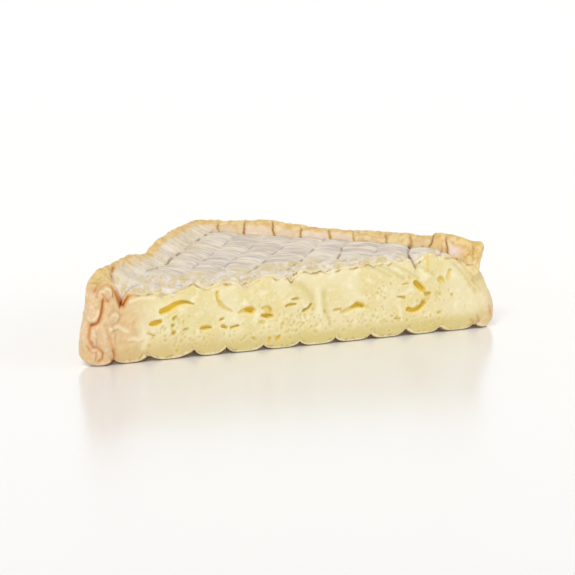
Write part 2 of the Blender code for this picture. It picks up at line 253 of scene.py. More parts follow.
def rind_insets(share):
    """Insets of the right, left and front left sides at a share of the wall's height."""

    def profile(rim_inset, shoulder_start, lean, waist):
        shoulder = clipped((share - shoulder_start) / (1.0 - shoulder_start))
        foot = clipped((FOOT_SHARE - share) / FOOT_SHARE)
        inset = lean * step(share, *LEAN_SPAN) + waist * bump(share, *WAIST_SPAN)
        inset = inset + (rim_inset - lean) * (1.0 - np.sqrt(1.0 - shoulder**2))
        return inset + FOOT_INSET * (1.0 - np.sqrt(1.0 - foot**2))

    right = profile(RIM_INSET, SHOULDER_START, RIGHT_LEAN, RIGHT_WAIST)
    left = profile(LEFT_RIM_INSET, SHOULDER_START, LEFT_LEAN, LEFT_WAIST)
    front_left = profile(FRONT_LEFT_RIM_INSET, FRONT_LEFT_SHOULDER_START, LEFT_LEAN, 0.0)
    return right, left, front_left


def cut_inset(share):
    """How far the cut face stands behind the knife's line: a slight bulge, softened edges."""
    return EDGE_ROUNDING * abs(2.0 * share - 1.0) ** 10 - CUT_BULGE * np.sin(math.pi * share)


class Section:
    """The level outline at a share of the walls' height, walked from the back corner past the
    left corner and along the cut to the right corner, then home along the right side."""

    def __init__(self, share):
        right, left, front_left = rind_insets(share)
        reaches = (
            (RIGHT_NORMAL, SIDE / 2 - right),
            (LEFT_NORMAL, SIDE / 2 - left),
            (FRONT_LEFT_NORMAL, SIDE / 2 + FRONT_LEFT_EXTRA - front_left),
            (CUT_NORMAL, CUT_OFFSET - cut_inset(share)),
            (FRONT_RIGHT_NORMAL, SIDE / 2 - right),
        )
        radii = (
            BACK_RADIUS - max(right, left),
            LEFT_RADIUS - 0.2 * front_left,
            CUT_START_RADIUS,
            CUT_END_RADIUS,
            RIGHT_RADIUS - 0.5 * right,
        )
        back, *others = [
            round_corner(meeting_point(*into, *out), into[0], out[0], radius)
            for into, out, radius in zip(reaches, reaches[1:] + reaches[:1], radii)
        ]
        middle = ARC_POINTS // 2
        self.walk = np.concatenate([back[middle:], *others, back[: middle + 1]])
        lengths = np.hypot(*np.diff(self.walk[:, :2], axis=0).T)
        self.walked = np.concatenate([[0.0], np.cumsum(lengths)])
        left_tip = self.walked[ARC_POINTS]
        right_tip = self.walked[4 * ARC_POINTS]
        self.spans = {
            "left": (0.0, left_tip),
            "cut": (left_tip, right_tip),
            "right": (right_tip, self.walked[-1]),
        }

    def at(self, wall, along):
        """Points and outward normals at shares along one wall, in the order of the walk."""
        begin, finish = self.spans[wall]
        distance = begin + (finish - begin) * along
        found = np.stack([np.interp(distance, self.walked, column) for column in self.walk.T], axis=-1)
        place = found[..., :2]
        normal = found[..., 2:]
        if wall == "cut":
            place = place + CUT_NORMAL * (CUT_BOW * np.sin(math.pi * along) ** 2)[..., None]
        return place, normal / np.linalg.norm(normal, axis=-1, keepdims=True)


def behind_cut(x, y):
    """Distance behind the knife's line."""
    return CUT_OFFSET - (x * CUT_NORMAL[0] + y * CUT_NORMAL[1])


def from_side(x, y, normal, reach):
    return reach - (x * normal[0] + y * normal[1])


def inside_crest(x, y):
    """Distance inwards from the crest of the rim, which follows the rounded corners."""
    right = from_side(x, y, RIGHT_NORMAL, SIDE / 2 - RIM_INSET)
    left = from_side(x, y, LEFT_NORMAL, SIDE / 2 - LEFT_RIM_INSET)
    front_left_reach = SIDE / 2 + FRONT_LEFT_EXTRA - FRONT_LEFT_RIM_INSET
    front_left = from_side(x, y, FRONT_LEFT_NORMAL, front_left_reach)
    front_right = from_side(x, y, FRONT_RIGHT_NORMAL, SIDE / 2 - RIM_INSET)

    def rounded(first, second, radius):
        beyond = np.hypot(np.maximum(radius - first, 0.0), np.maximum(radius - second, 0.0))
        return np.where(beyond > 0.0, radius - beyond, np.minimum(first, second))

    back_corner = rounded(right, left, BACK_RADIUS - RIM_INSET)
    left_corner = rounded(left, front_left, LEFT_RADIUS - 0.2 * FRONT_LEFT_RIM_INSET)
    right_corner = rounded(right, front_right, RIGHT_RADIUS - 0.5 * RIM_INSET)
    return np.minimum(np.minimum(back_corner, left_corner), right_corner)


def leg_coordinates(x, y):
    """Distances from the left side and from the right side of the square."""
    from_left = from_side(x, y, LEFT_NORMAL, SIDE / 2)
    from_right = from_side(x, y, RIGHT_NORMAL, SIDE / 2)
    return from_left, from_right


# Swells and dents of the rim's crest: place along its side, width, rise
LEFT_SWELLS = ((25.0, 26.0, 2.0), (58.0, 8.0, -2.4))
RIGHT_SWELLS = ((27.0, 12.0, 1.4), (34.0, 12.0, 0.5), (87.0, 4.0, -0.3))
LEFT_TIP_DROP = 2.1
FRONT_LEFT_DROP = 2.3
RIGHT_TIP_DROP = 1.9
RIGHT_LEDGE = 1.0
CUT_CORNER_DROP = 6.0
BACK_CORNER_RISE = 0.8


def crest_height(x, y):
    """Height of the rim's crest: one dent on the left side, lower at both cut corners."""
    from_left, from_right = leg_coordinates(x, y)
    from_front = from_side(x, y, FRONT_LEFT_NORMAL, SIDE / 2)
    left = bumps(from_right, LEFT_SWELLS, LEFT_RIM_HEIGHT)
    left = left - LEFT_TIP_DROP * step(from_right + 0.6 * from_left, 96.0, 118.0)
    left = left - FRONT_LEFT_DROP * fall(from_front, 4.0, 17.0)
    right = bumps(from_left, RIGHT_SWELLS, RIM_HEIGHT)
    right = right - RIGHT_TIP_DROP * step(from_left, 96.0, 110.0)
    right = right + RIGHT_LEDGE * step(from_left, 90.9, 91.7) * fall(from_left, 92.0, 103.0)
    right = right - CUT_CORNER_DROP * fall(behind_cut(x, y), 0.0, 5.5) * step(x, 55.0, 65.0)
    corner = BACK_CORNER_RISE * bump(from_left + from_right, 8.0, 9.0)
    return corner + left + (right - left) * step(from_left - from_right, -SIDE_BLEND, SIDE_BLEND)


# How much higher the cut's top edge stands from its two swells on, and its drop at the right
CUT_TOP_MIDDLE_RISE = 1.4
CUT_TOP_RIGHT_RISE = 2.4
CUT_TOP_END_DROP = 4.2


def sunken_height(x, y):
    """Height of the sunken top inside the rim, falling from the right side towards the left."""
    from_right = leg_coordinates(x, y)[1]
    inland = SUNKEN_HIGH - SUNKEN_DROP * step(from_right, 0.0, SUNKEN_DROP_END)
    at_cut = CUT_TOP_LEFT + CUT_TOP_MIDDLE_RISE * step(x, -48.0, -20.0)
    at_cut = at_cut + CUT_TOP_RIGHT_RISE * step(x, -4.0, 8.0)
    at_cut = at_cut - CUT_TOP_END_DROP * step(x, 56.0, 69.0)
    return at_cut + (inland - at_cut) * step(behind_cut(x, y), 0.0, CUT_TOP_BAND)


def rim_share(x, y):
    """1 on the rim's crest, 0 on the sunken top: a short slope at the right, a long one at the
    left."""
    inwards = inside_crest(x, y)
    from_left, from_right = leg_coordinates(x, y)
    left = slope(inwards, LEFT_RIM_WIDTH)
    left = left + LEFT_SKIRT_SHARE * (slope(inwards, LEFT_SKIRT_WIDTH) - left)
    right = slope(inwards, RIM_WIDTH)
    return left + (right - left) * step(from_left - from_right, -SIDE_BLEND, SIDE_BLEND)


def chain_distance(across, up, chain):
    """Distance to a chain of round blobs (across, up, radius), joined end to end; it is negative
    inside. A single blob is a disc."""
    best = np.full(np.broadcast(across, up).shape, np.inf)
    for (x0, y0, r0), (x1, y1, r1) in list(zip(chain, chain[1:])) or [(chain[0], chain[0])]:
        length = (x1 - x0) ** 2 + (y1 - y0) ** 2
        share = 0.0
        if length > 0.0:
            share = clipped(((across - x0) * (x1 - x0) + (up - y0) * (y1 - y0)) / length)
        gap = np.hypot(across - x0 - share * (x1 - x0), up - y0 - share * (y1 - y0))
        best = np.minimum(best, gap - (r0 + share * (r1 - r0)))
    return best


def line_distance(across, up, places):
    """Distance to a bent line."""
    return chain_distance(across, up, tuple((x, z, 0.0) for x, z in places))


# The middle of a fold, darkened as painted shade: how strong, and its width as a share of the fold's
CORE_SHARE = 0.42
CORE_WIDTH = 0.75


def fold_lines(across, up, table, red_width, patchy):
    """Depth of folds along bent lines, how reddish they are, and their middles darkened as painted shade.
    """
    depth, red, core = np.zeros((3, *across.shape))
    for deep, width, redness, places in table:
        away = line_distance(across, up, places)
        depth = depth + deep * np.exp(-away / width)
        red = np.maximum(red, patchy * redness * bump(away, 0.0, red_width * width))
        core = np.maximum(core, CORE_SHARE * redness**2 * bump(away, 0.0, CORE_WIDTH * width))
    return depth, red, core


def ridge_lines(across, up, table):
    """Height of soft ridges (or depth of grooves) along bent lines, and a mask of them."""
    height, mask = np.zeros((2, *across.shape))
    for rise, width, places in table:
        ridge = bump(line_distance(across, up, places), 0.0, width)
        height = height + rise * ridge
        mask = np.maximum(mask, ridge)
    return height, mask


# Creases of the top, between its pillows: depth, width, where each starts and ends from the right
# side, and the line it follows (distance from the right side, distance from the left side)
CREASES = (
    (0.80, 0.60, 10.0, 74.0, ((0.0, 9.4), (40.0, 9.8), (80.0, 9.4))),
    (0.35, 0.50, 12.0, 74.0, ((0.0, 20.4), (30.0, 20.0), (70.0, 19.6))),
    (0.55, 0.45, 14.0, 58.0, ((0.0, 31.2), (25.0, 30.3), (60.0, 30.0))),
    (0.55, 0.45, 16.0, 60.0, ((0.0, 41.8), (25.0, 41.0), (60.0, 40.6))),
    (0.75, 0.45, 10.0, 56.0, ((0.0, 52.6), (15.0, 52.4), (45.0, 53.2))),
    (0.70, 0.45, 9.0, 53.0, ((0.0, 60.3), (20.0, 62.4), (53.0, 67.8))),
    (0.75, 0.45, 8.0, 44.0, ((0.0, 72.0), (20.0, 74.5), (45.0, 77.0))),
    (1.40, 0.60, 8.0, 34.0, ((8.0, 83.9), (18.0, 85.6), (27.0, 89.8), (34.0, 92.5))),
    (0.50, 0.50, 8.0, 22.0, ((0.0, 94.5), (20.0, 97.0))),
)
GAPING_CREASE = 7
PILLOW_RISE = 0.40
PILLOW_TILT = 0.35
LAST_PILLOW_END = 107.0
# How wide the painted shade of creases and cracks is across: the width of each
CREASE_DARK_WIDTH = 0.36
GAP_DARK_WIDTH = 0.50
CRACK_WIDTH = 0.35
CRACK_DARK_WIDTH = 0.28
# From where on the noise breaks a crease into dashes: the crease beside the left rim breaks less
DASH_START = -0.20
FIRST_DASH_START = -0.45
DASH_END = 0.35


def pillow_place(u, v):
    """The creases' lines at every point, which pillow it is on, and its share of the way across."""
    lines = [np.full(u.shape, -1.0)]
    for index, crease in enumerate(CREASES):
        from_right, from_left = zip(*crease[4])
        wander = texture(CREASE_WANDER, v, 3.0 * index)
        lines.append(np.interp(v, from_right, from_left) + wander)
    lines.append(np.full(u.shape, LAST_PILLOW_END))
    lines = np.array(lines)
    pillow = np.clip((u >= lines).sum(axis=0) - 1, 0, len(lines) - 2)
    low = np.take_along_axis(lines, pillow[None], axis=0)[0]
    high = np.take_along_axis(lines, pillow[None] + 1, axis=0)[0]
    return lines, pillow, clipped((u - low) / np.maximum(high - low, 0.1))


def pillow_random(pillow, seed):
    """One random number from 0 to 1 for each pillow."""
    return lattice(pillow, 0 * pillow, 0 * pillow, seed)


def crease_fields(u, v):
    """Depth of the top's creases with its pillows, masks of their painted shade and of the painted
    shade where one gapes, the pillows, and the arch over each."""
    lines, pillow, share = pillow_place(u, v)
    depth, mask, gap = np.zeros((3, *u.shape))
    for index, (deep, width, start, end, _) in enumerate(CREASES):
        reach = step(v, start - 2.0, start + 2.0) * fall(v, end - 6.0, end + 4.0)
        dash_start = DASH_START if index else FIRST_DASH_START
        dashes = step(texture(CREASE_DASHES, v, 5.0 * index), dash_start, DASH_END)
        away = np.abs(u - lines[index + 1])
        depth = depth + deep * reach * (0.35 + 0.65 * dashes) * np.exp(-away / width)
        dark = min(1.4 * deep, 1.0) * reach * dashes
        mask = np.maximum(mask, dark * bump(away, 0.0, CREASE_DARK_WIDTH))
        if index == GAPING_CREASE:
            gap = reach * (0.55 + 0.45 * dashes) * bump(away, 0.0, GAP_DARK_WIDTH)
    arch = 4.0 * share * (1.0 - share) * (pillow > 0) * (0.6 + 0.6 * pillow_random(pillow, 16))
    tilt = PILLOW_TILT * (pillow_random(pillow, 13) - 0.5) * (2.0 * share - 1.0)
    return depth - PILLOW_RISE * (arch - 0.6) - tilt, mask, gap, pillow, arch


# Cracks across the inner slope of the right rim: place from the left side, how strong
RIM_CRACKS = (
    (2.5, 0.55), (10.8, 0.8), (20.9, 1.0), (31.8, 0.9), (42.4, 0.8), (52.9, 0.7), (62.1, 0.55),
    (74.1, 0.7), (83.3, 0.6), (91.3, 1.0), (96.6, 0.9), (106.3, 0.5),
)
# How pale each cell between them is, from the left side on
RIM_PALENESS = (0.3, 0.5, 0.4, 0.6, 0.5, 0.7, 0.55, 0.15, 0.05, 0.20, 0.05, 1.0, 0.0)
# The cracks slant about the slope's middle, and one of them runs right over the crest
RIM_CRACK_SLANT = 0.40
RIM_MIDDLE = 7.0
LONG_CRACK = 9
LONG_CRACK_SLANT = -0.15
LONG_CRACK_TOP = 3.4
CRACK_TOP = 5.8
CRACK_DEPTH = 0.9


def rim_crack_fields(u, v):
    """Depth of the cracks that cross the right rim's inner slope, a mask of their red-brown,
    deepened as painted shade, and the distance to the nearest of them."""
    depth, mask = np.zeros((2, *u.shape))
    nearest = np.full(u.shape, 10.0)
    for index, (place, strong) in enumerate(RIM_CRACKS):
        slant = RIM_CRACK_SLANT + 0.12 * math.sin(index * 2.7)
        top_end = CRACK_TOP + 0.6 * math.sin(index * 1.9)
        if index == LONG_CRACK:
            slant = LONG_CRACK_SLANT
            top_end = LONG_CRACK_TOP
        wobble = texture(CRACK_WOBBLE, v, float(index))
        reach = step(v, top_end - 0.8, top_end + 0.5) * fall(v, 9.6, 11.2)
        away = np.abs(u + wobble - place - slant * (v - RIM_MIDDLE))
        depth = depth + CRACK_DEPTH * strong * reach * np.exp(-away / CRACK_WIDTH)
        mask = np.maximum(mask, strong * reach * bump(away, 0.0, CRACK_DARK_WIDTH))
        nearest = np.minimum(nearest, away)
    return depth, mask, nearest


# How far behind the cut the bloom is worn off: place along the cut, reach
WORN_REACH = (
    (-78.0, 8.0), (-60.0, 16.0), (-47.0, 22.0), (-40.0, 24.0), (-16.0, 24.0), (-2.0, 25.0),
    (8.0, 20.0), (17.0, 19.0), (26.0, 14.0), (37.0, 14.0), (44.0, 11.0), (60.0, 13.5), (78.0, 8.0),
)


def worn_mask(x, y, u, v):
    """Where the bloom is worn off the top: a ragged band behind the cut."""
    reach = np.interp(x, *zip(*WORN_REACH))
    behind = behind_cut(x, y)
    ragged = texture(WORN_EDGE, u, v) + texture(WORN_EDGE_FINE, u, v)
    strength = 0.75 + 0.25 * fall(behind, 0.0, 12.0)
    return strength * fall(behind + ragged, reach - 6.0, reach + 2.0)


# Slits behind the torn edge of the top: place along the cut, distance behind it, half length,
# half width, depth
SLITS = (
    (-49.8, 1.0, 2.0, 0.8, 1.3), (-42.4, 1.8, 1.1, 0.9, 1.1), (-31.5, 1.6, 0.9, 0.7, 0.6),
    (-21.9, 2.6, 1.5, 0.9, 1.2), (-18.6, 3.2, 0.8, 0.6, 0.6), (-5.2, 1.0, 1.2, 0.9, 1.3),
    (-0.8, 1.2, 0.8, 1.3, 1.3), (1.4, 6.6, 0.6, 1.6, 0.8), (10.6, 0.8, 1.7, 0.7, 0.9),
    (24.4, 1.6, 1.4, 0.8, 1.1), (36.0, 1.4, 1.0, 0.7, 0.7), (43.4, 1.4, 0.9, 1.6, 1.2),
)
# Relief of the torn edge, and the way its flakes run
SLIT_DEPTH_SHARE = 0.45
FLAKE_RISE = 0.30
LIP_RISE = 0.40
TORN_WIDTH = 2.6
TEAR_TURN = math.radians(-25.0)


def torn_fields(x, y):
    """The torn skin at the cut's top edge: its depth, the bare strip, white flakes and slits."""
    behind = behind_cut(x, y)
    edge = TORN_WIDTH + texture(TORN_EDGE, x, 0.0)
    bare = fall(behind, edge - 0.4, edge + 0.4)
    crumbs = texture(CRUMBS_FINE, x, behind) + texture(CRUMBS, x, behind)
    near_edge = fall(behind, 5.0, 16.0)
    across = x * math.cos(TEAR_TURN) + y * math.sin(TEAR_TURN)
    along = y * math.cos(TEAR_TURN) - x * math.sin(TEAR_TURN)
    flake = step(texture(FLAKES, across, along), 0.08, 0.24) * near_edge
    slit, slit_depth, lip = np.zeros((3, *x.shape))
    for place, back, half_length, half_width, deep in SLITS:
        away = np.hypot((x - place) / half_length, (behind - back) / half_width)
        slit = np.maximum(slit, fall(away, 0.55, 1.05))
        slit_depth = np.maximum(slit_depth, SLIT_DEPTH_SHARE * deep * fall(away, 0.5, 1.2))
        lip = np.maximum(lip, bump(away, 1.7, 0.6) * step(back - behind, -0.3, 0.5))
    depth = bare * (0.25 + 0.30 * crumbs) - FLAKE_RISE * flake - LIP_RISE * lip + slit_depth
    depth = depth - (0.25 * crumbs + texture(CRUMPLES, across, along)) * near_edge
    return depth, bare, np.maximum(flake, 0.8 * lip) * (1.0 - slit), slit


# Ribs of the top, and how they drift on the long slope inside the left rim
RIB_PITCH = 2.1
RIB_DEPTH = 0.18
RIB_BOW = 1.9
SLOPE_DRIFT = -0.50
SLOPE_FOOT = 9.6


def rib_field(u, v, pillow, arch):
    """Ribs that the draining mat printed, in streaks that bow over each pillow: -1 to 1."""
    turned = 0.16 * (pillow_random(pillow, 14) - 0.5) * u
    across = v + RIB_BOW * arch + turned + texture(RIB_BENDS, u, v)
    across = across - SLOPE_DRIFT * np.minimum(u - SLOPE_FOOT, 0.0)
    fine = np.sin(2.0 * math.pi * across / RIB_PITCH)
    fine = fine * (0.5 + texture(RIB_BREAKS, u, v))
    streaks = sum(texture(row, u, across, 7.0 * pillow) for row in (STREAKS, BROAD_STREAKS))
    return np.clip(0.20 * fine + 1.15 * streaks, -1.0, 1.0)


# Folds of the top near the cut's left end: depth, width, how reddish, then the places they join
# (distance from the left side, distance from the right side)
TOP_FOLDS = (
    (1.2, 0.6, 1.0, ((3.9, 88.6), (5.3, 94.2), (7.8, 98.4), (10.8, 101.6), (14.3, 104.5))),
    (0.8, 0.4, 0.9, ((14.3, 104.5), (13.2, 98.6), (12.3, 91.7))),
    (0.5, 0.5, 0.4, ((2.4, 76.0), (4.2, 80.0), (5.4, 84.0))),
)
# The notch where they meet the cut, darkened as painted shade over the rind's orange
NOTCH_PLACE = -64.2
NOTCH_WIDTH = 0.9
# Waves of the cut's top edge: place along the cut, width, rise
EDGE_WAVES = (
    (-67.9, 1.8, 1.6), (-64.1, 1.5, -5.2), (-60.0, 3.4, -1.6), (-47.5, 3.0, -0.8), (-38.6, 3.0, 2.2),
    (-27.5, 3.2, 1.5), (-19.7, 1.6, -2.2), (-10.5, 5.0, 1.8), (-2.9, 1.4, -0.9), (1.4, 2.4, 1.5),
    (10.4, 3.4, -1.4), (44.7, 1.4, -0.9), (51.0, 5.0, 1.3),
)
EDGE_WAVE_REACH = 8.0
# How wide the tan crest is, and how wide the red of a fold is as a share of its width
TAN_REACH = 2.8
TOP_FOLD_RED_WIDTH = 0.7


def tan_field(u, v, inwards, ragged, ribs, on_right):
    """The tan rind of the rim's crest. At the left end it reaches to the first fold."""
    crest_end = TAN_REACH + 1.6 * ragged + 0.8 * ribs
    left = fall(inwards, crest_end - 1.0, crest_end + 1.0)
    fold_from_left, fold_from_right = zip(*TOP_FOLDS[0][3])
    beyond_fold = np.interp(v, fold_from_right, fold_from_left) - u - 4.0 * fall(v, 82.0, 92.0)
    left = np.maximum(left, step(beyond_fold, -0.2, 0.6))
    right = fall(inwards + 0.8 * ragged, 5.6, 6.6)
    return left + (right - left) * on_right


def pale_cells(u, v, behind, inwards, ragged, crack_distance):
    """Pale cells between the cracks of the right rim's slope."""
    pale = step(inwards + 0.9 * ragged, 2.2, 3.4) * fall(inwards + ragged, 5.4, 6.8)
    starts = np.array([place for place, _ in RIM_CRACKS])
    cell = (u[..., None] > starts + RIM_CRACK_SLANT * (v[..., None] - RIM_MIDDLE)).sum(axis=-1)
    pale = pale * step(crack_distance, 0.3, 1.3) * np.array(RIM_PALENESS)[cell]
    return pale * step(behind, 3.0, 7.0) * fall(u, 102.0, 105.5)


def top_surface(x, y):
    """Height of the upper surface and its masks."""
    u, v = leg_coordinates(x, y)
    behind = behind_cut(x, y)
    inwards = inside_crest(x, y)
    rim = slope(inwards, RIM_WIDTH)
    inner = 1.0 - rim
    on_right = step(u - v, -6.0, 6.0)
    crease_depth, crease_shade_mask, gap, pillow, arch = crease_fields(u, v)
    crack_depth, crack_mask, crack_distance = rim_crack_fields(u, v)
    torn_depth, bare, flake, slit = torn_fields(x, y)
    patchy = 0.6 + texture(TOP_FOLD_PATCHES, u, v)
    fold_depth, fold_red, _ = fold_lines(u, v, TOP_FOLDS, TOP_FOLD_RED_WIDTH, patchy)
    ribs = rib_field(u, v, pillow, arch)
    rib_reach = np.maximum(inner, (1.0 - on_right) * step(inwards, 1.5, 3.0)) * (1.0 - 0.7 * bare)
    sunken = sunken_height(x, y)
    height = sunken + (crest_height(x, y) - sunken) * rim_share(x, y)
    crest_grain = texture(CREST_GRAIN, u, v) + texture(CREST_LUMPS, u, v)
    height = height + texture(TOP_LUMPS, u, v) * inner + texture(TOP_GRAIN, u, v)
    height = height + crest_grain * rim * (1.0 - 0.5 * inner)
    height = height + RIB_DEPTH * ribs * rib_reach
    height = height - (crease_depth * inner + crack_depth) * step(inwards, 0.0, 1.5)
    height = height - torn_depth * step(inwards, 1.5, 4.0)
    height = height + bumps(x, EDGE_WAVES) * fall(behind, 0.0, EDGE_WAVE_REACH)
    height = height + texture(EDGE_TREMBLE, x, 0.0) * fall(behind, 0.0, 4.0)
    height = height - fold_depth
    ragged = texture(RAGGED_EDGES, u, v)
    notch_shade = bump(x, NOTCH_PLACE, NOTCH_WIDTH) * bump(behind, 0.0, 1.6)
    gold = fall(behind, 5.0, 9.0) * step(x, 58.0, 63.0) * clipped(0.75 + 0.6 * ragged)
    # A dark line along the foot of the right rim's slope, partly in dashes: painted shade
    foot = 0.6 * bump(inwards, RIM_WIDTH, 0.45) * clipped(0.45 + 0.6 * ragged) * on_right
    foot_dashes = step(texture(FOOT_DASHES, u, v), -0.10, 0.25) * step(u, 62.0, 72.0)
    foot_crack = bump(inwards, RIM_WIDTH, 0.40) * foot_dashes * on_right
    pale = pale_cells(u, v, behind, inwards, ragged, crack_distance) * (1.0 - 0.8 * gold)
    rim_worn = 0.32 * (1.0 - on_right) * fall(inwards, 9.0, 15.0)
    masks = {
        "tan": tan_field(u, v, inwards, ragged, ribs, on_right),
        "slope": pale * on_right,
        "worn": np.maximum(worn_mask(x, y, u, v), rim_worn),
        "bare": bare * step(inwards, 0.5, 2.5),
        "flake": flake * step(inwards, 2.0, 5.0),
        "slit": slit * step(inwards, 2.0, 4.0),
        # Cracks, the gaping crease and the rim's foot: red-brown deepened as painted shade
        "crack_shade": np.maximum(crack_mask, np.maximum(gap * inner, 0.8 * foot_crack)),
        # Painted shade along the top's creases and the right rim's foot
        "crease": np.maximum(crease_shade_mask * inner, foot),
        # The ribs' height, used in the material for painted shade in their hollows
        "rib": 0.5 + 0.5 * ribs * np.maximum(rib_reach, 0.25),
        # The notch and the top folds: the rind's orange, darkened as painted shade
        "notch_shade": np.maximum(notch_shade, fold_red),
        "gold": gold * on_right,
    }
    return height, masks


# Arches of the underside: the flat share of each, their depth, and their depth at the cut
ARCH_FLAT = 0.30
ARCH_DEPTH = 1.5
CUT_ARCH_DEPTH = 2.2
# Grooves of the foot that stand aside, and those that gape: place along the cut, width, how far
FOOT_SHIFTS = ((-55.1, 4.0, -1.1), (-38.9, 3.2, 1.9))
FOOT_RISES = ((-55.1, 4.0, 0.2), (-38.9, 3.2, 0.8), (40.8, 2.6, 0.5), (-26.9, 2.0, 0.3))
FOOT_REACH = 5.0


def mat_groove(distance):
    """0 on the flat of a mat cell, rising in an arc to the narrow groove between two cells."""
    off_middle = np.abs(2.0 * np.mod(distance / MAT_CELL, 1.0) - 1.0)
    off_flat = clipped((off_middle - ARCH_FLAT) / (1.0 - ARCH_FLAT))
    return 1.0 - np.sqrt(1.0 - (0.985 * off_flat) ** 2)


def bottom_height(x, y):
    """Height of the underside: square pillows that meet in grooves."""
    behind = behind_cut(x, y)
    near_cut = fall(behind, 0.0, FOOT_REACH)
    place = x - bumps(x, FOOT_SHIFTS) * near_cut - MAT_PHASE
    grooves = [mat_groove((place + side * behind) / math.sqrt(2)) for side in (-1.0, 1.0)]
    deep = ARCH_DEPTH + (CUT_ARCH_DEPTH - ARCH_DEPTH) * fall(behind, 0.0, 2.5)
    return deep * np.maximum(*grooves) + bumps(x, FOOT_RISES) * near_cut


# Holes of the cut face: depth, then blobs (place along X, height, radius) joined end to end
EYES = (
    (3.2, ((-50.2, 16.2, 1.0), (-47.6, 17.0, 1.05), (-45.4, 18.1, 0.95), (-43.3, 18.7, 0.8),
           (-41.0, 18.6, 0.5), (-38.9, 17.9, 0.12))),
    (2.6, ((-53.9, 12.3, 0.85), (-52.3, 12.5, 1.0), (-50.9, 12.9, 0.7))),
    (1.6, ((-46.1, 13.5, 0.55), (-45.4, 13.9, 0.6))),
    (1.4, ((-46.4, 11.2, 0.75),)),
    (1.8, ((-46.2, 8.7, 0.85),)),
    (1.2, ((-55.3, 9.2, 0.3), (-53.1, 8.3, 0.35))),
    (2.2, ((-36.6, 9.4, 0.35), (-34.7, 9.6, 0.75), (-32.9, 9.4, 0.35))),
    (1.3, ((-42.6, 9.4, 0.40), (-41.1, 9.6, 0.45))),
    (2.0, ((-28.6, 9.5, 0.65), (-27.2, 8.9, 0.4))),
    (1.8, ((-25.5, 8.9, 0.45), (-23.1, 9.3, 0.40))),
    (1.5, ((-29.3, 11.9, 0.5), (-28.4, 12.1, 0.45))),
    (1.5, ((-30.3, 21.0, 0.65), (-30.2, 18.8, 0.60), (-29.0, 16.6, 0.55))),
    (1.1, ((-29.3, 16.8, 0.7), (-27.6, 15.5, 0.65), (-25.4, 14.4, 0.4))),
    (1.4, ((-23.0, 13.6, 0.3), (-20.5, 14.3, 0.9), (-18.4, 14.2, 1.3))),
    (3.2, ((-19.6, 14.3, 0.75), (-17.8, 14.0, 1.05))),
    (1.3, ((-14.0, 14.6, 0.5), (-12.4, 14.3, 1.2), (-11.9, 13.2, 1.0))),
    (1.9, ((-11.1, 14.4, 0.30), (-10.9, 13.2, 0.45))),
    (3.0, ((-14.3, 12.1, 0.45), (-12.0, 11.6, 0.75), (-10.6, 11.7, 0.6))),
    (1.0, ((-15.0, 9.6, 0.75), (-13.7, 9.6, 0.7))),
    (1.9, ((-3.2, 16.7, 0.35), (-1.1, 16.8, 0.42))),
    (2.0, ((-5.7, 14.6, 0.35), (-3.9, 15.0, 0.5), (-1.9, 15.0, 0.35))),
    (2.4, ((1.0, 12.5, 0.55), (2.6, 13.1, 0.4), (4.0, 14.4, 0.45))),
    (1.7, ((-8.3, 3.7, 0.9), (-7.6, 4.3, 0.5))),
    (1.2, ((-11.5, 3.0, 0.6), (-11.2, 4.0, 0.55))),
    (1.0, ((-17.3, 4.3, 0.5),)),
    (1.0, ((9.1, 11.7, 0.5), (9.3, 10.9, 0.4))),
    (1.3, ((12.2, 11.7, 0.3), (14.9, 12.0, 0.4))),
    (1.0, ((15.4, 10.8, 0.6), (17.2, 11.3, 0.8), (19.2, 12.0, 0.8))),
    (3.0, ((19.4, 12.2, 0.6), (21.3, 12.8, 1.15), (23.6, 12.3, 0.6))),
    (0.7, ((24.2, 12.0, 0.5), (25.4, 11.6, 0.4))),
    (3.2, ((43.7, 19.0, 0.85), (45.3, 17.5, 1.05), (46.7, 16.2, 0.75))),
    (2.0, ((47.6, 14.6, 0.75), (48.9, 14.7, 0.65))),
    (2.8, ((40.6, 9.8, 0.75), (42.8, 9.2, 0.8), (44.9, 9.7, 0.9), (46.8, 11.4, 0.9))),
    (0.8, ((46.8, 11.6, 0.7), (48.6, 13.2, 0.5))),
    (1.6, ((37.0, 14.4, 0.35), (39.4, 14.1, 0.4))),
    (1.0, ((38.4, 18.7, 0.25), (40.9, 18.9, 0.25))),
    (1.0, ((41.5, 20.9, 0.6),)),
    (1.5, ((53.4, 19.4, 1.15), (54.1, 18.9, 0.95))),
    (1.2, ((57.2, 22.2, 0.6), (56.6, 19.8, 0.9))),
    (1.1, ((57.9, 13.5, 0.65),)),
    (1.2, ((52.5, 7.7, 0.55), (53.4, 7.9, 0.45))),
    (1.5, ((36.0, 6.9, 0.4), (37.8, 6.7, 0.3))),
    (0.9, ((28.0, 14.8, 0.42),)),
    (0.9, ((31.8, 14.5, 0.42),)),
    (0.8, ((29.0, 16.5, 0.4),)),
    (0.8, ((48.3, 28.0, 1.0), (48.5, 25.0, 0.5), (48.7, 22.2, 0.12))),
)
# How much wider the holes are than in the table, and how far round them counts
HOLE_GROWTH = 0.10
EYE_REACH = 3.0
PORE_REACH = 2.0
PORE_DEPTH = 0.45
# How places in the table of holes turn into true ones
DRAWN_STRETCH = 1.0113
DRAWN_SHIFT = 0.15
DRAWN_RISE = 0.1
DRAWN_TILT = 0.0085
SMALL_PORES = 300
PORE_SEED = 7
# Crowds of small holes: place along X, height, half width, half height, and each one's share
PORE_CROWDS = (
    (1.0, 8.5, 8.0, 4.0), (28.0, 7.5, 7.0, 3.5), (-44.0, 8.5, 7.0, 4.0), (50.0, 8.0, 8.0, 5.0),
    (-24.0, 6.0, 12.0, 3.5), (31.0, 15.5, 5.0, 4.0), (52.0, 14.5, 4.0, 2.5),
)
PORE_SHARES = (0.34, 0.22, 0.12, 0.10, 0.10, 0.06, 0.06)
PORE_ZONE_X = (-56.0, 66.0)
PORE_ZONE_Z = (2.2, 20.0)


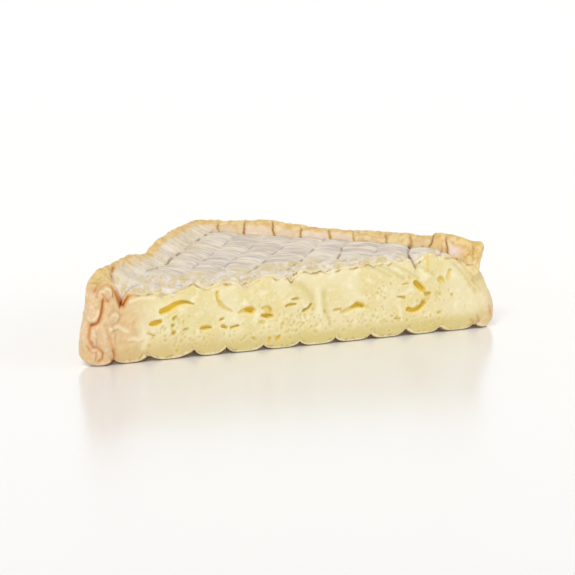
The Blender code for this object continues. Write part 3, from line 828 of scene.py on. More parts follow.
def small_pores():
    """Small holes, mostly low on the face and gathered in a few crowds."""
    random = np.random.default_rng(PORE_SEED)
    pores = []
    for crowd_index in random.choice(len(PORE_CROWDS), SMALL_PORES, p=np.array(PORE_SHARES)):
        x, z, wide, tall = PORE_CROWDS[crowd_index]
        place_x = x + wide * random.normal() * 0.8
        place_z = z + tall * random.normal() * 0.6
        radius = 0.28 + 0.30 * random.random() ** 2
        if PORE_ZONE_Z[0] < place_z < PORE_ZONE_Z[1] and PORE_ZONE_X[0] < place_x < PORE_ZONE_X[1]:
            pores.append((0.5 + 0.5 * random.random(), place_x, place_z, radius))
    return pores


def drawn_place(x, z):
    """Where a place of the face lies in the table of holes, which was drawn a little narrow."""
    return (x - DRAWN_SHIFT) / DRAWN_STRETCH, z - DRAWN_RISE + DRAWN_TILT * x


def true_place(drawn_x, drawn_z):
    """The other way round."""
    x = drawn_x * DRAWN_STRETCH + DRAWN_SHIFT
    return x, drawn_z + DRAWN_RISE - DRAWN_TILT * x


def near_chain(x, chain):
    """Which places lie close to a chain of blobs, measured along X."""
    places = [blob[0] for blob in chain]
    return (x > min(places) - EYE_REACH) & (x < max(places) + EYE_REACH)


def eye_fields(true_x, true_z):
    """Depth of the holes, a mask of how deep one looks into them, painted as golden shade and
    bounced light, their soft borders, painted paler as a highlight, and pores, painted as shade.
    """
    x, z = drawn_place(true_x, true_z)
    depth, mask, halo, pore = np.zeros((4, *x.shape))
    for deep, chain in EYES:
        widest = max(blob[2] for blob in chain)
        near = near_chain(x, chain)
        away = chain_distance(x[near], z[near], chain) - HOLE_GROWTH
        inside = clipped(-away / (0.75 * widest))
        hollow = 0.65 * deep * np.sqrt(1.0 - (1.0 - inside) ** 2)
        depth[near] = np.maximum(depth[near], hollow)
        # Inside each hole, golden painted shade and bounced light, stronger the deeper the hole
        strength = min(1.0, 0.12 + deep / 3.0)
        mask[near] = np.maximum(mask[near], step(-away, -0.14, 0.18) * strength)
        # A soft border round each hole, painted paler as a highlight
        halo[near] = np.maximum(halo[near], min(1.0, widest) * np.exp(-np.maximum(away, 0.0) / 0.5))
    for strength, place_x, place_z, radius in small_pores():
        near = np.abs(x - place_x) < PORE_REACH
        away = np.hypot(x[near] - place_x, z[near] - place_z) / radius
        # Each small pore: a golden dot of painted shade
        pore[near] = np.maximum(pore[near], strength * np.exp(-(away**2)))
        # And a pale ring round each pore, a painted highlight
        halo[near] = np.maximum(halo[near], 0.5 * bump(away, 2.0, 0.7))
    return depth + PORE_DEPTH * pore, mask, halo, pore


# Cracks and folds of the rind at the cut's left end, and grooves of the cut face: depth, width,
# how reddish, then the places along X and heights they join
FOLDS = (
    (0.9, 0.42, 1.0, ((-71.5, 22.6), (-71.7, 20.2), (-72.0, 18.0), (-73.4, 14.9), (-75.4, 13.9))),
    (0.5, 0.32, 0.75, ((-75.4, 13.9), (-75.9, 10.2), (-75.2, 6.8))),
    (0.8, 0.35, 0.75, ((-75.2, 6.8), (-73.5, 6.6), (-71.9, 4.7), (-72.1, 2.7), (-73.3, 1.9))),
    (0.5, 0.30, 0.60, ((-76.5, 7.1), (-75.4, 4.9), (-74.2, 5.1), (-74.4, 2.3))),
    (1.0, 0.42, 0.8, ((-73.2, 25.1), (-71.5, 26.9), (-70.0, 27.4), (-68.5, 27.0), (-67.5, 25.6),
                      (-67.8, 23.2))),
    (0.5, 0.30, 0.6, ((-73.0, 23.2), (-72.1, 25.3), (-70.7, 26.3))),
    (0.5, 0.28, 0.6, ((-71.6, 24.6), (-70.4, 22.7), (-69.5, 21.7))),
    (0.9, 0.55, 0.75, ((-68.3, 5.2), (-67.7, 3.2), (-67.5, 0.8))),
    (0.5, 0.60, 0.30, ((-71.2, 14.0), (-69.9, 9.5), (-68.3, 5.2))),
    (1.3, 0.60, 1.0, ((-66.8, 24.5), (-65.8, 22.2), (-65.0, 20.6), (-64.2, 19.9))),
    (1.0, 0.50, 1.0, ((-64.2, 19.9), (-63.4, 21.4), (-62.4, 22.6))),
    (0.5, 0.45, 0.25, ((-69.8, 16.7), (-68.9, 18.2), (-66.5, 18.2), (-65.4, 16.8), (-66.2, 14.7),
                       (-68.6, 13.4))),
    (0.4, 0.50, 0.20, ((-69.7, 11.3), (-67.9, 11.9), (-66.1, 11.9), (-64.7, 10.7), (-63.3, 10.1))),
    (0.4, 0.50, 0.15, ((-62.9, 7.3), (-61.1, 7.6), (-59.3, 6.8), (-57.8, 7.3))),
    (0.35, 0.7, 0.1, ((-60.6, 14.4), (-61.0, 12.0), (-60.0, 9.6))),
    (0.5, 0.35, 0.9, ((56.8, 27.6), (59.6, 26.2), (62.7, 24.8), (65.5, 23.8))),
    (0.6, 0.4, 0.45, ((66.6, 3.4), (67.8, 2.6), (67.2, 1.6))),
    (0.55, 0.35, 0.40, ((69.0, 4.8), (69.8, 3.4), (69.4, 2.2))),
    (0.30, 0.6, 0.50, ((74.2, 7.4), (74.8, 4.8))),
)

# Bulges of the rind and paste at the cut's left end: how far out, place along X, height, half
# width, half height
BULGES = (
    (0.9, -71.2, 25.2, 2.6, 2.6),
    (0.8, -75.0, 20.5, 1.8, 4.6),
    (0.9, -77.0, 10.0, 2.2, 3.6),
    (0.7, -75.0, 4.0, 2.2, 2.4),
    (1.2, -70.6, 7.5, 2.3, 7.0),
    (0.7, -64.8, 21.2, 0.75, 0.65),
    (0.45, -69.6, 17.4, 1.9, 3.0),
    (0.35, -65.6, 17.2, 1.6, 3.4),
    (0.5, -63.8, 6.8, 3.0, 4.2),
    (0.35, -58.6, 5.6, 2.8, 3.4),
    (0.35, -60.5, 14.6, 2.2, 3.6),
    (0.25, 68.0, 8.0, 3.0, 3.6),
)
BULGE_GAIN = 1.35
BULGE_REACH = 1.35
# Ridges there, painted paler as a painted highlight: how far out, width, then the places along X and
# heights they join
PALE_RIDGES = (
    (0.22, 0.40, ((-68.4, 17.2), (-67.0, 17.4), (-66.3, 16.4), (-67.0, 15.0))),
    (0.24, 0.70, ((-69.7, 12.3), (-67.9, 12.9), (-66.1, 12.9), (-64.7, 11.7), (-63.3, 11.1))),
    (0.20, 0.75, ((-62.9, 8.3), (-61.1, 8.6), (-59.3, 7.8), (-57.8, 8.3))),
    (0.15, 0.40, ((-73.0, 19.0), (-73.2, 17.2), (-74.4, 15.6))),
    (0.30, 0.45, ((-72.5, 24.0), (-71.2, 25.8), (-70.0, 26.3), (-68.9, 25.7), (-68.4, 24.0))),
    (0.12, 0.50, ((-62.0, 21.0), (-58.0, 21.8), (-53.0, 21.4))),
    (0.06, 1.20, ((-57.6, 12.4), (-56.6, 8.6), (-57.4, 5.2))),
    (0.24, 1.00, ((6.8, 19.0), (7.0, 12.5), (7.4, 6.0))),
)

# Soft grooves of the face, painted a darker yellow along them as painted shade: depth, width, then the
# places they join
SOFT_GROOVES = (
    (0.45, 1.3, ((-2.6, 22.4), (0.0, 21.6), (2.4, 19.5), (4.6, 16.3), (4.9, 13.8))),
    (0.45, 1.1, ((9.0, 17.9), (9.7, 12.2), (11.7, 6.2))),
    (0.35, 0.7, ((24.3, 26.0), (29.2, 24.7), (34.7, 21.6))),
    (0.30, 0.6, ((28.5, 26.4), (33.7, 24.2), (39.8, 20.2))),
    (0.30, 0.6, ((35.4, 25.9), (40.3, 23.3), (45.2, 20.2))),
    (0.25, 0.6, ((43.5, 25.2), (47.5, 23.3), (51.7, 20.5))),
    (0.35, 0.8, ((58.9, 24.8), (63.8, 19.6), (67.9, 13.5))),
    (0.30, 0.6, ((61.8, 24.4), (66.3, 19.5), (70.6, 13.7))),
)

# The same share for the folds of the wall
FOLD_RED_WIDTH = 1.50


def fold_fields(x, z):
    """Depth of the folds, bulges and ridges of the cut wall, how reddish they are, how pale
    (a painted highlight on the ridges), and their middles darkened as painted shade."""
    patchy = 0.80 + texture(FOLD_PATCHES, x, z)
    depth, red, core = fold_lines(x, z, FOLDS, FOLD_RED_WIDTH, patchy)
    for out, place, up, half_width, half_height in BULGES:
        away = np.hypot((x - place) / half_width, (z - up) / half_height)
        depth = depth - BULGE_GAIN * out * np.sqrt(clipped(1.0 - (away / BULGE_REACH) ** 2))
    ridges, pale = ridge_lines(x, z, PALE_RIDGES)
    return depth - ridges, red, pale, core


# A short way, to measure how the distance to a hole changes
SNAP_TRIAL = 0.02


def snap_to_eyes(x, z, cell):
    """Moves points that nearly lie on a hole's border onto it, so that borders are clean."""
    moved_x, moved_z = drawn_place(x, z)
    for _, chain in EYES:
        near = near_chain(moved_x, chain)
        if not near.any():
            continue
        here_x = moved_x[near]
        here_z = moved_z[near]
        away = chain_distance(here_x, here_z, chain) - HOLE_GROWTH
        slope_x = chain_distance(here_x + SNAP_TRIAL, here_z, chain) - HOLE_GROWTH - away
        slope_z = chain_distance(here_x, here_z + SNAP_TRIAL, chain) - HOLE_GROWTH - away
        size = np.maximum(np.hypot(slope_x, slope_z), 1e-9)
        pull = np.where(np.abs(away) < 0.5 * cell, away, 0.0)
        moved_x[near] = here_x - pull * slope_x / size
        moved_z[near] = here_z - pull * slope_z / size
    return true_place(moved_x, moved_z)


def crowd(share, amount):
    """Moves evenly spaced shares towards both ends."""
    return share - amount * np.sin(2.0 * math.pi * share) / (2.0 * math.pi)


def wall_shares(length, fine_length, fine_cell, cell):
    """Shares along a wall, closer together over its first stretch."""
    fine = np.arange(0.0, fine_length, fine_cell)
    coarse = np.linspace(fine_length, length, int((length - fine_length) / cell))
    return np.concatenate([fine, coarse]) / length


def middle_share(share):
    """0 at the foot and top of a wall, 1 halfway up."""
    return np.sqrt(clipped(np.sin(math.pi * share)))


def side_relief(x, y, z, share):
    """Shallow lumps, level wrinkles and fine crinkles of the rind round the sides."""
    rows = ((SIDE_LUMPS, 6.0), (SIDE_WRINKLES, 1.1), (SIDE_GRAIN, 1.6))
    return sum(texture(row, x, y, z / high) for row, high in rows) * middle_share(share)


# How far the seam under the skin stands in, and the soft edges of the face stand out
SEAM_DEPTH = 0.40
SKIN_EDGE_RISE = 0.25
FOOT_EDGE_RISE = 0.12
HALO_RISE = 0.12
# Below this a place counts as outside every hole
OPEN_MASK = 0.05


def cut_relief(x, z, low, high, share):
    """How far the cut face stands in, with its masks."""
    eyes, eye_mask, halo, pore = eye_fields(x, z)
    folds, red, pale, core = fold_fields(x, z)
    grooves, groove_shade_mask = ridge_lines(x, z, SOFT_GROOVES)
    waves = texture(FACE_WAVES, x, z) + texture(FACE_GRAIN, x, z)
    drag = texture(KNIFE_DRAG, x + 0.6 * z, z - 0.6 * x)
    lumps = texture(END_LUMPS, x, z) * fall(x, -66.0, -56.0)
    fade = middle_share(share)
    halo = halo * (eye_mask < OPEN_MASK)
    below = high - z
    # A thin olive line of painted shade under the skin's overhanging edge
    seam_shade_and_specks = bump(below, 0.75 + texture(SEAM_WANDER, x, 5.0), 0.36)
    seam_shade_and_specks = seam_shade_and_specks * (0.15 + 0.85 * step(texture(SEAM_BREAKS, x, 3.0), -0.1, 0.5))
    skin_edge = bump(below, 0.30, 0.30) * (0.5 + texture(SKIN_EDGE_BREAKS, x, 0.0))
    foot_edge = bump(z - low, 0.35, 0.35)
    inwards = (eyes - HALO_RISE * halo + waves + drag + lumps + grooves) * fade
    inwards = inwards + folds * np.maximum(fade, 0.5)
    inwards = inwards + SEAM_DEPTH * seam_shade_and_specks - SKIN_EDGE_RISE * skin_edge - FOOT_EDGE_RISE * foot_edge
    low_band = fall(z, 3.0, 8.0 + 2.5 * fall(x, -50.0, -30.0))
    masks = {
        "pit_shade": eye_mask,
        "pore": pore,
        "red": red,
        # The folds' middles, darkened as painted shade
        "notch_shade": core,
        # Painted highlight on the ridges and round the holes and pores
        "pale": np.maximum(pale, 0.6 * halo),
        "seam_shade_and_specks": seam_shade_and_specks,
        "crust": skin_edge,
        # The low band's darker yellow is real; along the soft grooves it is painted shade
        "low": np.maximum(low_band, 0.75 * groove_shade_mask),
    }
    return inwards, masks


# Where the face blends into the rind, and the edge rows that stay where they are
TIP_BLEND = 2.5
SNAP_MARGIN = 0.03
# How the right corner stands in: height, half height, depth
TIP_WAISTS = ((23.3, 2.6, 1.9), (14.5, 5.0, 0.8), (29.0, 2.5, -1.0))
CUT_WAIST_SHARE = 0.4
GOLD_SHARE = 0.90
GOLD_HEIGHT = 25.0


def cut_wall(x, z, low, high, share, from_tip, side_inwards, waist):
    """The cut face: its places, how far it stands in, its masks and how much of it is rind."""
    snapped_x, snapped_z = snap_to_eyes(x, z, CUT_CELL)
    inner = (share > SNAP_MARGIN) & (share < 1.0 - SNAP_MARGIN)
    x = np.where(inner, snapped_x, x)
    z = np.where(inner, snapped_z, z)
    tip_fade = step(from_tip, 0.0, TIP_BLEND)[None, :]
    inwards, masks = cut_relief(x, z, low, high, share)
    inwards = inwards + CUT_WAIST_SHARE * waist
    inwards = side_inwards + (inwards - side_inwards) * tip_fade
    rind = np.maximum(fall(x, -68.0, -66.0), 0.8 * step(x, 72.5, 75.5) * step(z, 1.0, 6.0))
    rind = np.maximum(rind, 0.55 * step(x, 68.0, 69.8) * fall(z, 3.5, 7.0))
    masks = {name: value * tip_fade for name, value in masks.items()}
    above = z - low
    lip = 1.0 + texture(LIP_WANDER, x, 0.0)
    dots = bump(above, 1.15 * lip, 0.35) * step(texture(DOT_BREAKS, x, 4.0), 0.15, 0.45)
    masks["paste"] = 1.0 - rind
    # This mask holds painted shade under the top skin; the dots just above the foot are real specks
    masks["seam_shade_and_specks"] = np.maximum(masks["seam_shade_and_specks"], 0.6 * dots) * (1.0 - rind)
    masks["crust"] = masks["crust"] * (1.0 - rind)
    masks["skin"] = fall(above, 0.65 * lip, 1.25 * lip) * step(above, 0.15, 0.4)
    return x, z, inwards, masks, rind


def wall(name, sections, shares, along, length):
    """Places and masks of every row and column of one wall."""
    found = [section.at(name, along) for section in sections]
    base = np.array([places for places, _ in found])
    normal = np.array([normals for _, normals in found])
    x = base[:, :, 0]
    y = base[:, :, 1]
    share = np.broadcast_to(shares[:, None], x.shape)
    low = bottom_height(x[0], y[0])
    high, top_masks = top_surface(x[-1], y[-1])
    z = low + share * (high - low)
    masks = {mask: np.zeros(x.shape) for mask in MASKS}
    at_right = float(name != "left")
    waist = bumps(z, TIP_WAISTS) * step(x, 58.0, 67.0) * at_right
    inwards = side_relief(x, y, z, share) + waist
    rind = np.ones(x.shape)
    if name == "cut":
        from_tip = np.minimum(along, 1.0 - along) * length
        x, z, inwards, cut_masks, rind = cut_wall(x, z, low, high, share, from_tip, inwards, waist)
        masks.update(cut_masks)
    left_end = fall(x, -66.0, -50.0) * (0.85 + 0.15 * step(z, 2.0, 8.0))
    low_left = 0.35 * fall(x, -45.0, -15.0) * fall(z, 4.0, 11.0)
    masks["peach"] = np.maximum(np.maximum(left_end, low_left), 0.25 * step(x, 64.0, 74.0))
    masks["side"] = rind
    # Painted contact shadow: the wall darkens to near black towards its foot
    masks["under_shade"] = fall(z - low, 0.14, 0.48)
    reach = step(share, 0.93, 0.99) if name == "cut" else step(share, 0.90, 1.0)
    for mask, value in top_masks.items():
        on_face = 1.0 if mask in ("crack_shade", "notch_shade", "slit", "gold") else rind
        masks[mask] = np.maximum(masks[mask], value[None, :] * reach * on_face)
    patchy = clipped(0.8 + texture(GOLD_PATCHES, x, y, z / 2.0))
    band = np.maximum(bump(z, GOLD_HEIGHT, 2.0), 0.85 * step(z, 13.0, 21.0) * fall(z, 27.0, 29.0))
    gold = band * step(x, 61.0, 68.0) * at_right * patchy
    masks["gold"] = np.maximum(masks["gold"], GOLD_SHARE * gold)
    masks["top"] = step(share, 0.93, 1.0) * rind
    masks["tan"] = np.maximum(masks["tan"], step(share, 0.80, 0.95) * rind)
    x = x - normal[:, :, 0] * inwards
    y = y - normal[:, :, 1] * inwards
    return np.stack([x, y, z], axis=-1), masks


def wall_ring():
    """Every wall in one closed ring of columns: places and masks of each row and column."""
    shares = crowd(np.linspace(0.0, 1.0, ROWS + 1), ROW_CROWDING)
    sections = [Section(share) for share in shares]
    spans = sections[ROWS // 2].spans
    lengths = {name: finish - begin for name, (begin, finish) in spans.items()}
    alongs = {
        "left": 1.0 - wall_shares(lengths["left"], TIP_LENGTH, TIP_CELL, SIDE_CELL)[::-1],
        "cut": wall_shares(lengths["cut"], LEFT_END_LENGTH, LEFT_END_CELL, CUT_CELL),
        "right": wall_shares(lengths["right"], TIP_LENGTH, TIP_CELL, SIDE_CELL),
    }
    walls = [wall(name, sections, shares, along[:-1], lengths[name]) for name, along in alongs.items()]
    ring = np.concatenate([places for places, _ in walls], axis=1)
    joined = {name: np.concatenate([masks[name] for _, masks in walls], axis=1) for name in MASKS}
    return ring, joined


def inside_loop(points, loop):
    """Which points lie inside a closed loop, by counting crossings."""
    inside = np.zeros(len(points), bool)
    ahead = np.roll(loop, -1, axis=0)
    for (x0, y0), (x1, y1) in zip(loop, ahead):
        if y0 == y1:
            continue
        crosses = (points[:, 1] < y0) != (points[:, 1] < y1)
        where = x0 + (points[:, 1] - y0) * (x1 - x0) / (y1 - y0)
        inside ^= crosses & (points[:, 0] < where)
    return inside


def cap_points(loop, cell_u, cell_v):
    """Points that fill the inside of a loop, in rows parallel to the square's sides."""
    u_values = np.arange(0.0, CAP_REACH, cell_u)
    v_values = np.arange(0.0, CAP_REACH, cell_v)
    u, v = np.meshgrid(u_values, v_values)
    u = u + 0.5 * cell_u * (np.arange(len(v_values)) % 2)[:, None]
    u = u.ravel()
    v = v.ravel()
    x = (u - v) / math.sqrt(2)
    y = (SIDE - u - v) / math.sqrt(2)
    points = np.stack([x, y], axis=1)
    points = points[(y < loop[:, 1].max()) & (y > loop[:, 1].min())]
    points = points[inside_loop(points, loop)]
    tree = kdtree.KDTree(len(loop))
    for index, place in enumerate(loop):
        tree.insert((*place, 0.0), index)
    tree.balance()
    return points[[tree.find((*point, 0.0))[2] > CAP_MARGIN for point in points]]


def cap_triangles(loop, inner):
    """Triangles over a loop and the points inside it, as indices into loop then inner."""
    places = np.concatenate([loop, inner])
    count = len(loop)
    edges = [(index, (index + 1) % count) for index in range(count)]
    points = [Vector(place) for place in places]
    _, _, faces, origins, _, _ = delaunay_2d_cdt(points, edges, [], 1, CAP_TOLERANCE)
    original = [origin[0] for origin in origins]
    return np.array([[original[index] for index in face] for face in faces])


def cheese_mesh():
    """The whole surface: places, triangles and quads, and masks for every vertex."""
    ring, masks = wall_ring()
    rows, columns = ring.shape[:2]
    index = np.arange(rows * columns).reshape(rows, columns)
    here = index[:-1]
    above = index[1:]
    quads = np.stack([here, np.roll(here, -1, axis=1), np.roll(above, -1, axis=1), above], axis=-1)
    places = [ring.reshape(-1, 3)]
    values = {name: [masks[name].ravel()] for name in MASKS}
    triangles = []
    start = rows * columns
    for row, cells in ((rows - 1, (TOP_CELL_ALONG, TOP_CELL_ACROSS)), (0, (BOTTOM_CELL, BOTTOM_CELL))):
        loop = ring[row, :, :2]
        inner = cap_points(loop, *cells)
        found = np.concatenate([index[row], start + np.arange(len(inner))])[cap_triangles(loop, inner)]
        cap_masks = {name: np.zeros(len(inner)) for name in MASKS}
        if row > 0:
            height, found_masks = top_surface(inner[:, 0], inner[:, 1])
            cap_masks.update(found_masks)
            cap_masks["top"] = np.ones(len(inner))
        else:
            height = bottom_height(inner[:, 0], inner[:, 1])
            found = found[:, ::-1]
            cap_masks["side"] = np.ones(len(inner))
            # The underside's grooves: red-brown rind, darkened further as painted shade
            cap_masks["under_shade"] = 0.9 * step(height, 0.15, 1.0)
        triangles.append(found)
        places.append(np.column_stack([inner, height]))
        for name in MASKS:
            values[name].append(cap_masks[name])
        start += len(inner)
    joined = {name: np.concatenate(parts) for name, parts in values.items()}
    return np.concatenate(places), quads.reshape(-1, 4), np.concatenate(triangles), joined


def add_object(name, data):
    """A new object in the scene."""
    item = bpy.data.objects.new(name, data)
    bpy.context.scene.collection.objects.link(item)
    return item


def make_cheese():
    places, quads, triangles, masks = cheese_mesh()
    mesh = bpy.data.meshes.new("half_cheese")
    mesh.from_pydata(((places + PLAN_SHIFT) * MM).tolist(), [], quads.tolist() + triangles.tolist())
    mesh.validate()
    mesh.shade_smooth()
    for name, values in masks.items():
        attribute = mesh.attributes.new(name, "FLOAT", "POINT")
        attribute.data.foreach_set("value", clipped(values).astype(np.float32))
    return add_object("half_cheese", mesh)


def srgb(red, green, blue):
    """A colour given as 0 to 255 values, as linear light."""
    channels = [value / 255.0 for value in (red, green, blue)]
    linear = [value / 12.92 if value <= 0.04045 else ((value + 0.055) / 1.055) ** 2.4 for value in channels]
    return (*linear, 1.0)


class Nodes:
    """Short names for the nodes of a material or of the world."""

    def __init__(self, owner, shader):
        owner.use_nodes = True
        self.tree = owner.node_tree
        self.shader = self.tree.nodes[shader]

    def feed(self, node, inputs):
        """Gives a node's sockets plain values, or joins them to the outputs of others."""
        for socket, source in inputs.items():
            if isinstance(source, (int, float, tuple)):
                node.inputs[socket].default_value = source
            else:
                self.tree.links.new(source, node.inputs[socket])

    def add(self, kind, inputs, **settings):
        """The outputs of a new node."""
        node = self.tree.nodes.new(kind)
        for name, value in settings.items():
            setattr(node, name, value)
        self.feed(node, inputs)
        return node.outputs

    def mask(self, name):
        return self.add("ShaderNodeAttribute", {}, attribute_name=name)["Fac"]

    def noise(self, size_mm, detail=2.0, roughness=0.5, stretch=(1.0, 1.0, 1.0), turn=0.0):
        place = self.add("ShaderNodeTexCoord", {})["Object"]
        mapping = {"Vector": place, "Rotation": (0.0, 0.0, turn), "Scale": stretch}
        place = self.add("ShaderNodeMapping", mapping, vector_type="TEXTURE")["Vector"]
        scale = 1.0 / (size_mm * MM)
        texture = {"Vector": place, "Scale": scale, "Detail": detail, "Roughness": roughness}
        return self.add("ShaderNodeTexNoise", texture)["Fac"]

    def ramp(self, value, low, high, bottom=0.0, top=1.0):
        limits = {"Value": value, "From Min": low, "From Max": high, "To Min": bottom, "To Max": top}
        return self.add("ShaderNodeMapRange", limits, interpolation_type="SMOOTHSTEP")["Result"]

    def product(self, first, second):
        return self.add("ShaderNodeMath", {0: first, 1: second}, operation="MULTIPLY")["Value"]

    def mix(self, share, first, second):
        return self.add("ShaderNodeMix", {0: share, 6: first, 7: second}, data_type="RGBA")[2]

    def bump(self, height, distance_mm, strength):
        sockets = {"Height": height, "Distance": distance_mm * MM, "Strength": strength}
        return self.add("ShaderNodeBump", sockets)["Normal"]

    def layers(self, colour, table):
        """Lays colours over one another: the mask, the colour and the share of each."""
        for mask, over, share in table:
            colour = self.mix(self.product(self.mask(mask), share), colour, over)
        return colour

    def patches(self, colour, table):
        """Lays noisy patches over one another: the colour, the noise and the ramp of each."""
        for over, texture, limits in table:
            colour = self.mix(self.ramp(self.noise(*texture), *limits), colour, over)
        return colour


CREAM = srgb(237, 225, 182)
PALE_PASTE = srgb(247, 238, 206)
BUTTER = srgb(231, 215, 154)
LOW_BAND = srgb(216, 199, 130)
PEACH = srgb(223, 187, 138)
# Golden yellow inside the holes: painted shade and bounced light
HOLE_SHADE = srgb(238, 207, 78)
# Golden dot of painted shade in the small pores
PORE_SHADE = srgb(212, 188, 80)
SKIN = srgb(250, 242, 216)
LAVENDER = srgb(204, 191, 180)
BLOOM = srgb(243, 232, 216)
WORN = srgb(232, 212, 160)
BARE = srgb(236, 216, 146)
FLAKE = srgb(246, 236, 226)
GOLDEN = srgb(224, 196, 120)
# Dark brown painted shade inside the slits of the torn edge
SLIT_SHADE = srgb(146, 88, 24)
# Olive-brown painted shade under the skin's edge, also mixed into the slits
SEAM_SHADE = srgb(172, 130, 54)
SPECK = srgb(180, 140, 62)
GOLD = srgb(221, 181, 95)
TAN = srgb(235, 209, 150)
TAN_DARK = srgb(221, 182, 110)
SLOPE = srgb(236, 221, 216)
# Grey-mauve painted shade in the top's creases
CRACK_SHADE = srgb(132, 60, 18)
# Red-brown of the cracks, darkened as painted shade
CREASE_SHADE = srgb(132, 108, 100)
RIND = srgb(227, 196, 142)
RIND_PALE = srgb(236, 213, 178)
RIND_WHITE = srgb(238, 222, 204)
RED = srgb(208, 132, 36)
# Dark orange-brown: rind orange darkened as painted shade in the notch and fold middles
NOTCH_SHADE = srgb(174, 80, 8)
# Near-black red-brown of the foot and underside: rind tone darkened as painted shade
UNDER_SHADE = srgb(82, 34, 14)
RIB_TURN = math.radians(-45.0)
TEAR_STRETCH = (1.0, 3.6, 1.0)
PASTE_ROUGHNESS = 0.42
TOP_ROUGHNESS = 0.75


def cheese_material():
    """Paste, rind and top, each in layers. A noise is given as its size in millimetres, detail,
    roughness, stretch and turn; a ramp as the noise values where it starts and ends, then what
    it gives there."""
    material = bpy.data.materials.new("half_cheese")
    n = Nodes(material, "Principled BSDF")
    broad = n.noise(9.0, 3.0)
    middle = n.noise(2.6, 3.0)
    fine = n.noise(0.7, 3.0, 0.6)
    streaks = n.noise(0.9, 3.0, 0.55, (7.0, 1.0, 1.0), RIB_TURN)
    torn = (TEAR_STRETCH, TEAR_TURN)
    paste = n.patches(n.mix(n.ramp(broad, 0.35, 0.65), CREAM, BUTTER), (
        (PALE_PASTE, (4.5, 2.0, 0.5), (0.50, 0.72, 0.0, 0.8)),
        (PALE_PASTE, (1.0, 3.0, 0.6), (0.54, 0.68, 0.0, 0.55)),
    ))
    paste = n.layers(paste, (
        ("low", LOW_BAND, 0.80),
        ("peach", PEACH, n.ramp(middle, 0.25, 0.75, 0.55, 0.95)),
        ("skin", SKIN, n.ramp(fine, 0.35, 0.65, 0.15, 0.65)),
        ("crust", FLAKE, n.ramp(fine, 0.35, 0.65, 0.15, 0.75)),
        ("seam_shade_and_specks", SEAM_SHADE, 0.85),
    ))
    side = n.layers(n.mix(n.ramp(middle, 0.32, 0.72), RIND, RIND_PALE), (("peach", PEACH, 0.5),))
    side = n.patches(side, (
        (RIND_WHITE, (1.6, 4.0, 0.65), (0.43, 0.76, 0.0, 0.80)),
        (TAN_DARK, (2.1, 4.0, 0.65, (1.0, 1.0, 1.6)), (0.46, 0.82, 0.0, 0.60)),
    ))
    walls = n.layers(n.mix(n.mask("side"), paste, side), (
        # Painted highlight on ridges and round holes and pores
        ("pale", PALE_PASTE, 0.6),
        ("pore", PORE_SHADE, 0.85),
        ("pit_shade", HOLE_SHADE, 1.0),
        ("red", RED, 1.0),
        ("under_shade", UNDER_SHADE, 0.95),
    ))
    # Lavender in the ribs' hollows, bloom on their crests: the bloom's own tone, with painted shade in the
    # hollows
    top = n.mix(n.ramp(n.mask("rib"), 0.10, 0.95), LAVENDER, BLOOM)
    top = n.mix(n.ramp(streaks, 0.50, 0.66, 0.0, 0.65), top, BLOOM)
    top = n.patches(top, ((WORN, (3.2, 3.0, 0.6), (0.52, 0.66, 0.0, 0.34)),))
    worn = n.patches(WORN, (
        (FLAKE, (2.6, 3.0, 0.6, *torn), (0.46, 0.60, 0.0, 0.90)),
        (GOLDEN, (2.9, 3.0, 0.6, *torn), (0.54, 0.64, 0.0, 0.8)),
        (LAVENDER, (1.9, 2.0, 0.5, *torn), (0.58, 0.68, 0.0, 0.7)),
    ))
    rim = n.mix(n.ramp(middle, 0.42, 0.64), TAN, TAN_DARK)
    # Darker tan in the ribs' hollows on the crest: painted shade
    rim = n.mix(n.ramp(n.mask("rib"), 0.40, 0.56, 0.6, 0.0), rim, TAN_DARK)
    top = n.layers(top, (
        ("worn", worn, n.ramp(streaks, 0.40, 0.66, 1.0, 0.82)),
        ("flake", FLAKE, 0.85),
        ("tan", rim, n.ramp(fine, 0.30, 0.60, 0.80, 1.0)),
        ("slope", SLOPE, n.ramp(fine, 0.35, 0.60, 0.6, 1.0)),
        ("bare", BARE, n.ramp(fine, 0.35, 0.62, 0.15, 0.75)),
        ("bare", SPECK, n.ramp(n.noise(0.9, 2.0, 0.6), 0.58, 0.68, 0.0, 0.75)),
        ("crease", CREASE_SHADE, 0.85),
    ))
    golden_crust = n.patches(GOLD, ((TAN, (1.1, 3.0, 0.6), (0.42, 0.60)),))
    # The slits: dark brown and olive painted shade inside them
    slit = n.mix(n.ramp(broad, 0.46, 0.56), SLIT_SHADE, SEAM_SHADE)
    colour = n.layers(walls, (
        ("top", top, 1.0),
        ("gold", golden_crust, n.ramp(fine, 0.30, 0.60, 0.55, 0.95)),
        ("crack_shade", CRACK_SHADE, 1.0),
        ("slit", slit, 0.9),
        ("notch_shade", NOTCH_SHADE, 1.0),
    ))
    n.feed(n.shader, {
        "Base Color": colour,
        "Roughness": n.ramp(n.mask("top"), 0.0, 1.0, PASTE_ROUGHNESS, TOP_ROUGHNESS),
        "Specular IOR Level": 0.35,
        "Subsurface Weight": 0.35,
        "Subsurface Radius": (1.0, 0.62, 0.30),
        "Subsurface Scale": 1.8 * MM,
        "Normal": n.bump(n.noise(0.5, 4.0, 0.6), 0.08, 0.6),
    })
    return material


def floor_material():
    material = bpy.data.materials.new("floor")
    n = Nodes(material, "Principled BSDF")
    n.feed(n.shader, {
        "Base Color": (0.89, 0.893, 0.90, 1.0),
        "Roughness": 0.21,
        "Specular IOR Level": 0.60,
        "Emission Color": (1.0, 0.82, 0.60, 1.0),
        "Emission Strength": 0.05,
    })
    return material


FLOOR_REACH = 3.0


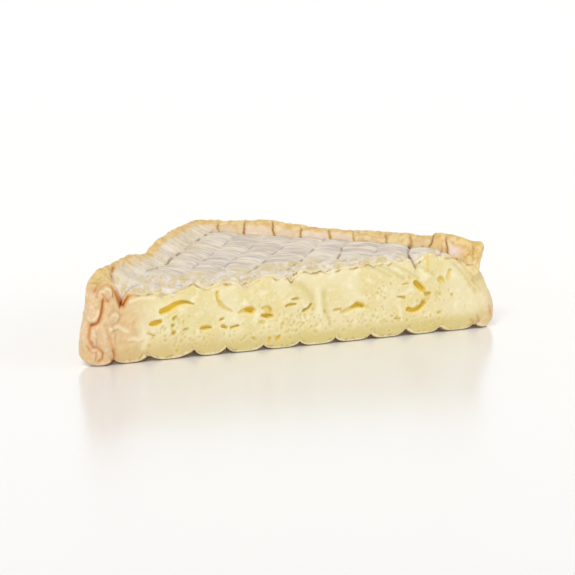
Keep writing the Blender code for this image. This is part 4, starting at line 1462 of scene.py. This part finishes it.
def make_floor():
    mesh = bpy.data.meshes.new("floor")
    corners = [(FLOOR_REACH * x, FLOOR_REACH * y, 0) for x, y in ((-1, -1), (1, -1), (1, 1), (-1, 1))]
    mesh.from_pydata(corners, [], [(0, 1, 2, 3)])
    floor = add_object("floor", mesh)
    floor.data.materials.append(floor_material())


# The photograph's view: degrees round and up, millimetres
VIEW_TURN = math.radians(24.85)
VIEW_RISE = math.radians(11.21)
VIEW_DISTANCE = 1000.0
VIEW_TARGET = np.array([0.0, 38.9, 12.0])
FRAME_PIXELS = 575.0
FOCAL_PIXELS = 2828.7
TARGET_X_PIXELS = 244.75
TARGET_Y_PIXELS = 289.5
SENSOR_MM = 36.0


def make_camera():
    """The camera aims beside its target by as much as the photograph puts the target off its middle."""
    back = np.array([
        -math.sin(VIEW_TURN) * math.cos(VIEW_RISE),
        -math.cos(VIEW_TURN) * math.cos(VIEW_RISE),
        math.sin(VIEW_RISE),
    ])
    right = np.array([math.cos(VIEW_TURN), -math.sin(VIEW_TURN), 0.0])
    up = np.cross(right, -back)
    place = VIEW_TARGET + back * VIEW_DISTANCE
    aside = (FRAME_PIXELS / 2 - TARGET_X_PIXELS) / FOCAL_PIXELS * VIEW_DISTANCE
    over = (TARGET_Y_PIXELS - FRAME_PIXELS / 2) / FOCAL_PIXELS * VIEW_DISTANCE
    aim = VIEW_TARGET + right * aside + up * over
    data = bpy.data.cameras.new("camera")
    data.sensor_width = SENSOR_MM
    data.lens = FOCAL_PIXELS / FRAME_PIXELS * SENSOR_MM
    data.clip_end = 20.0
    camera = add_object("camera", data)
    camera.location = (place + PLAN_SHIFT) * MM
    looking = Vector(((aim - place) * MM).tolist())
    camera.rotation_euler = looking.to_track_quat("-Z", "Y").to_euler()
    bpy.context.scene.camera = camera


# Lights in metres and watts, and the sky behind them
LIGHT_SIZE = 2.0
KEY_PLACE = (-2.60, -2.60, 4.40)
KEY_POWER = 118.0
FILL_PLACE = (3.20, -2.40, 2.00)
FILL_POWER = 18.0
LIGHT_AIM = (0.0, 0.0, 0.01)
SKY_COLOUR = (1.0, 0.995, 0.975, 1.0)
HORIZON_STRENGTH = 1.32
SKY_STRENGTH = 0.45
HORIZON_HEIGHT = 0.25
SKY_HEIGHT = 0.55


def area_light(name, place, power):
    data = bpy.data.lights.new(name, "AREA")
    data.shape = "DISK"
    data.size = LIGHT_SIZE
    data.energy = power
    light = add_object(name, data)
    light.location = place
    light.rotation_euler = (Vector(LIGHT_AIM) - Vector(place)).to_track_quat("-Z", "Y").to_euler()


def make_light():
    """A bright horizon under a dimmer sky, with two disk lights."""
    world = bpy.data.worlds.new("studio")
    n = Nodes(world, "Background")
    ray = n.add("ShaderNodeTexCoord", {})["Generated"]
    height = n.add("ShaderNodeSeparateXYZ", {"Vector": ray})["Z"]
    strength = n.ramp(height, HORIZON_HEIGHT, SKY_HEIGHT, HORIZON_STRENGTH, SKY_STRENGTH)
    n.feed(n.shader, {"Color": SKY_COLOUR, "Strength": strength})
    bpy.context.scene.world = world
    area_light("key", KEY_PLACE, KEY_POWER)
    area_light("fill", FILL_PLACE, FILL_POWER)
    bpy.context.scene.view_settings.view_transform = "Standard"


cheese = make_cheese()
cheese.data.materials.append(cheese_material())
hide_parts("cheese")
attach(cheese, "root")
make_floor()
make_camera()
make_light()
